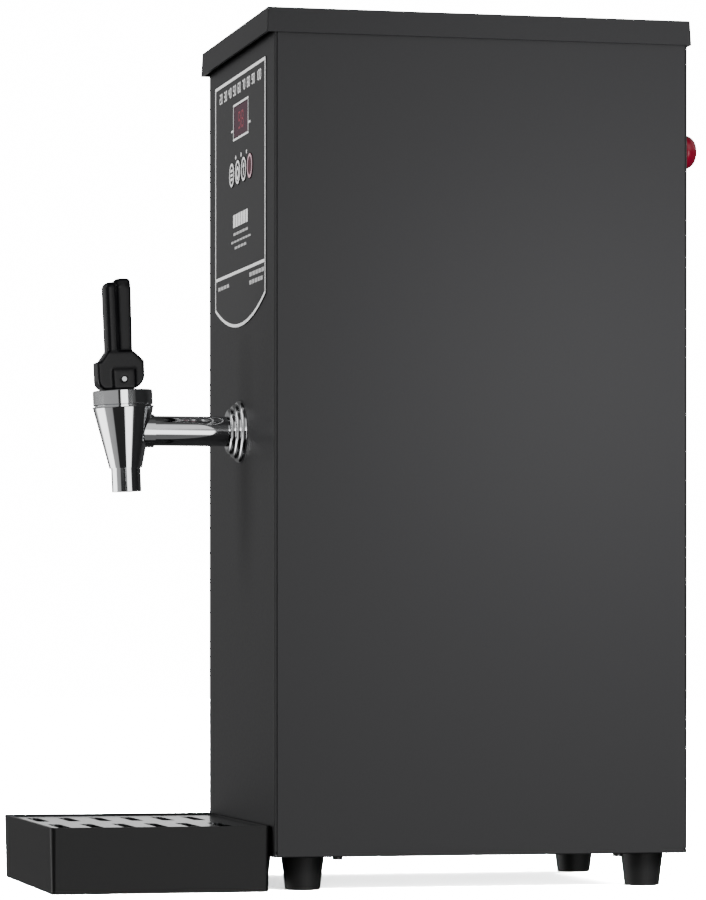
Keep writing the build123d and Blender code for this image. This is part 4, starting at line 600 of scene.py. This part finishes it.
lay_ink("lamp_dots", lamp_dots, "control_overlay", "casing")
scale = []
for order, figure in enumerate(SCALE_NUMBERS):
    if figure != " ":
        x = SCALE_X + order * SCALE_PITCH
        scale += numeral(figure, x, SCALE_Z, SCALE_WIDTH, SCALE_HEIGHT, SCALE_LINE)
lay_ink("temperature_scale", scale, "control_overlay", "casing")
blocks = []
for order in range(BLOCKS):
    x = BLOCK_X + order * BLOCK_PITCH + BLOCK_WIDTH / 2
    blocks += stroke([(x, BLOCK_Z), (x, BLOCK_Z + BLOCK_HEIGHT)], BLOCK_WIDTH)
lay_ink("level_blocks", blocks, "control_overlay", "casing")
rules = []
for x0, x1, z, width, count in RULES:
    pitch = (x1 - x0 + RULE_GAP) / count
    for order in range(count):
        start = x0 + order * pitch
        rules += stroke([(start, z), (start + pitch - RULE_GAP, z)], width)
lay_ink("film_rules", rules, "control_overlay", "casing", faint_ink)


# ---- Print on the keys ------------------------------------------------------------------
# Each cap has a ring round its edge and a plain symbol, all sized in mm: three bars, a small
# ring, a raising arrow, and on the red cap a lowering arrow in a dull red that shows only
# close by.
PINK_DARK, PINK_LIGHT = "C8A0AC", "DCB8C2"
DULL_RED_DARK, DULL_RED_LIGHT = "4A2430", "5A2E3A"
CAP_R, CAP_EDGE = 9.2, 0.45
RING_LINE, SYMBOL_LINE = 1.9, 1.8
BAR_HALF, BAR_PITCH = 4.2, 3.2
SMALL_RING_R, SMALL_RING_DROP, SMALL_RING_LINE = 3.9, 0.8, SYMBOL_LINE * 1.3
ARROW_TAIL, ARROW_NECK, ARROW_HALF, ARROW_BASE, ARROW_TIP = 4.4, 1.2, 3.4, 1.4, 5.0

pink_ink = finish(
    "pink_ink", PINK_DARK, PINK_LIGHT, grain_mm=0.7, roughness=0.5, bump_mm=0.004, IOR=1.5
)
dull_red_ink = finish(
    "dull_red_ink", DULL_RED_DARK, DULL_RED_LIGHT,
    grain_mm=0.7, roughness=0.5, bump_mm=0.004, IOR=1.5,
)
KEYS = (        # cap, body it rides, ink of its ring, ink of its symbol
    ("power_key", "power_button", screen_ink, screen_ink),
    ("set_key", "set_button", screen_ink, screen_ink),
    ("raise_key", "raise_button", screen_ink, screen_ink),
    ("lower_key", "lower_button", pink_ink, dull_red_ink),
)


def ring(x, z, radius, width, count=48):
    """A ring of ink."""
    turns = [2 * pi * i / count for i in range(count)]
    return stroke([(x + radius * cos(t), z + radius * sin(t)) for t in turns], width, True)


for key, body, ring_ink, symbol_ink in KEYS:
    low, high = [corner * 1000 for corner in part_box(key)]
    x, z = (low.x + high.x) / 2, (low.z + high.z) / 2
    edge = ring(x, z, CAP_R - CAP_EDGE - RING_LINE / 2, RING_LINE)
    lay_ink(key + "_ring", edge, key, body, ring_ink)
    if key == "power_key":
        symbol = []
        for step in (-1, 0, 1):
            bar_z = z + BAR_PITCH * step
            symbol += stroke([(x - BAR_HALF, bar_z), (x + BAR_HALF, bar_z)], SYMBOL_LINE)
    elif key == "set_key":
        symbol = ring(x, z - SMALL_RING_DROP, SMALL_RING_R, SMALL_RING_LINE, count=32)
    else:
        way = 1 if key == "raise_key" else -1
        base = z + ARROW_BASE * way
        symbol = stroke([(x, z - ARROW_TAIL * way), (x, z + ARROW_NECK * way)], SYMBOL_LINE)
        symbol.append([(x - ARROW_HALF, base), (x + ARROW_HALF, base), (x, z + ARROW_TIP * way)])
    lay_ink(key + "_symbol", symbol, key, body, symbol_ink)


# ---- Studio -----------------------------------------------------------------------------
# The camera sees white paper and a white backdrop. What the machine mirrors is a surround of
# bright and dark bands in three tiers: above the tap's own horizon, below it, and overhead.
# Four soft boxes, which no glossy surface mirrors, lift the matt coats and the print.
FLOOR_RADIUS, FLOOR_SEGMENTS = 9.0, 96
PAPER_SHADE, PAPER_GLARE = 0.15, 90
BACKDROP = 16.0
SURROUND_PEAK = 10.0
# Each band is a bearing in degrees, 0 at the machine's right and -90 in front, and a brightness.
HIGH_BANDS = (
    (-180, 0.26), (-154, 0.28), (-148, 0.4), (-110, 0.45), (-28, 0.42), (-25, 0.03),
    (-18, 0.03), (-14, 3.6), (8, 3.6), (11, 0.12), (44, 0.1), (100, 0.15), (150, 0.4),
    (158, 1.4), (170, 1.4), (177, 0.3),
)
LOW_BANDS = (
    (-180, 0.14), (-155, 0.14), (-140, 0.8), (-132, 4.0), (-92, 4.0), (-86, 0.5), (-55, 0.4),
    (-50, 0.03), (-4, 0.03), (1, 3.2), (27, 3.2), (33, 0.05), (130, 0.05), (156, 0.5),
    (172, 0.7), (178, 0.1),
)
TOP_BANDS = (
    (-180, 0.1), (-150, 0.1), (-122, 0.5), (-116, 3.0), (-84, 3.0), (-78, 0.4), (-14, 0.2),
    (-8, 1.0), (44, 1.0), (56, 0.4), (100, 0.5), (148, 0.4), (180, 0.1),
)
# Where the tiers meet, as the upward part of a direction.
HORIZON_FROM, HORIZON_TO = 0.042, 0.034
OVERHEAD_FROM, OVERHEAD_TO = 0.14, 0.3
DEEP_FROM, DEEP_TO, DEEP_SHARE = -0.4, -0.52, 0.05
CROWN_FROM, CROWN_TO, CROWN_SHARE = 0.66, 0.78, 0.1
SOFT_BOXES = (      # name, place, what it looks at, side, watts
    ("side_soft_box", (0.62, 0.24, 0.4), (0.12, 0.16, 0.38), 0.25, 6.6),
    ("left_soft_box", (-0.95, 0.0, 0.75), (-0.12, 0.1, 0.35), 0.5, 3.0),
    ("rear_soft_box", (-0.4, 1.3, 0.8), (0.0, 0.22, 0.35), 0.5, 16.0),
    ("front_soft_box", (-0.2, -1.2, 0.95), (0.0, -0.08, 0.5), 0.5, 15.5),
)

world = bpy.data.worlds.new("studio_surround")
world.use_nodes = True
world.node_tree.nodes.clear()
bpy.context.scene.world = world
direction = add(world, "ShaderNodeTexCoord").outputs["Generated"]
axes = add(world, "ShaderNodeSeparateXYZ", {0: direction}).outputs
bearing = add(
    world, "ShaderNodeMath", {0: axes["Y"], 1: axes["X"]}, operation="ARCTAN2"
).outputs[0]
share = add(
    world, "ShaderNodeMapRange", {"Value": bearing, "From Min": -pi, "From Max": pi}
).outputs[0]
tiers = []
for table in (HIGH_BANDS, LOW_BANDS, TOP_BANDS):
    bands = add(world, "ShaderNodeValToRGB", {"Fac": share})
    ramp = bands.color_ramp.elements
    for order, (angle, level) in enumerate(table):
        place = (angle + 180) / 360
        stop = ramp[order] if order < 2 else ramp.new(place)
        stop.position = place
        stop.color = [level / SURROUND_PEAK] * 3 + [1]
    tiers.append(bands.outputs["Color"])
lean = add(
    world, "ShaderNodeVectorMath", {0: direction, 1: STEM_AXIS}, operation="DOT_PRODUCT"
).outputs["Value"]
below = add(
    world, "ShaderNodeMapRange",
    {"Value": lean, "From Min": HORIZON_FROM, "From Max": HORIZON_TO},
).outputs[0]
around = add(
    world, "ShaderNodeMix", {0: below, 6: tiers[0], 7: tiers[1]}, data_type="RGBA"
).outputs[2]
overhead = add(
    world, "ShaderNodeMapRange",
    {"Value": axes["Z"], "From Min": OVERHEAD_FROM, "From Max": OVERHEAD_TO},
).outputs[0]
around = add(
    world, "ShaderNodeMix", {0: overhead, 6: around, 7: tiers[2]}, data_type="RGBA"
).outputs[2]
deep = add(
    world, "ShaderNodeMapRange",
    {"Value": axes["Z"], "From Min": DEEP_FROM, "From Max": DEEP_TO,
     "To Min": 1.0, "To Max": DEEP_SHARE},
).outputs[0]
crown = add(
    world, "ShaderNodeMapRange",
    {"Value": axes["Z"], "From Min": CROWN_FROM, "From Max": CROWN_TO,
     "To Min": 1.0, "To Max": CROWN_SHARE},
).outputs[0]
fade = add(world, "ShaderNodeMath", {0: deep, 1: crown}, operation="MULTIPLY").outputs[0]
strength = add(
    world, "ShaderNodeMath", {0: fade, 1: SURROUND_PEAK}, operation="MULTIPLY"
).outputs[0]
glow = add(world, "ShaderNodeBackground", {"Color": around, "Strength": strength}).outputs[0]
backdrop = add(
    world, "ShaderNodeBackground", {"Color": (1, 1, 1, 1), "Strength": BACKDROP}
).outputs[0]
seen = add(world, "ShaderNodeLightPath").outputs["Is Camera Ray"]
both = add(world, "ShaderNodeMixShader", {0: seen, 1: glow, 2: backdrop}).outputs[0]
add(world, "ShaderNodeOutputWorld", {"Surface": both})

floor_mesh = bmesh.new()
bmesh.ops.create_circle(
    floor_mesh, cap_ends=True, segments=FLOOR_SEGMENTS, radius=FLOOR_RADIUS
)
floor_data = bpy.data.meshes.new("studio_floor")
floor_mesh.to_mesh(floor_data)
floor_mesh.free()
floor = bpy.data.objects.new("studio_floor", floor_data)
bpy.context.scene.collection.objects.link(floor)
white_paper = bpy.data.materials.new("white_paper")
white_paper.use_nodes = True
white_paper.node_tree.nodes.clear()
paper, lit_paper = [
    add(white_paper, "ShaderNodeBsdfDiffuse", {"Color": [level] * 3 + [1]}).outputs[0]
    for level in (PAPER_SHADE, PAPER_GLARE)
]
seen = add(white_paper, "ShaderNodeLightPath").outputs["Is Camera Ray"]
both = add(white_paper, "ShaderNodeMixShader", {0: seen, 1: paper, 2: lit_paper}).outputs[0]
add(white_paper, "ShaderNodeOutputMaterial", {"Surface": both})
floor_data.materials.append(white_paper)
floor.visible_glossy = False

for name, place, target, side, watts in SOFT_BOXES:
    light_data = bpy.data.lights.new(name, "AREA")
    light_data.size = side
    light_data.energy = watts
    light = bpy.data.objects.new(name, light_data)
    light.location = place
    light.rotation_euler = (Vector(target) - Vector(place)).to_track_quat("-Z", "Y").to_euler()
    light.visible_glossy = False
    bpy.context.scene.collection.objects.link(light)
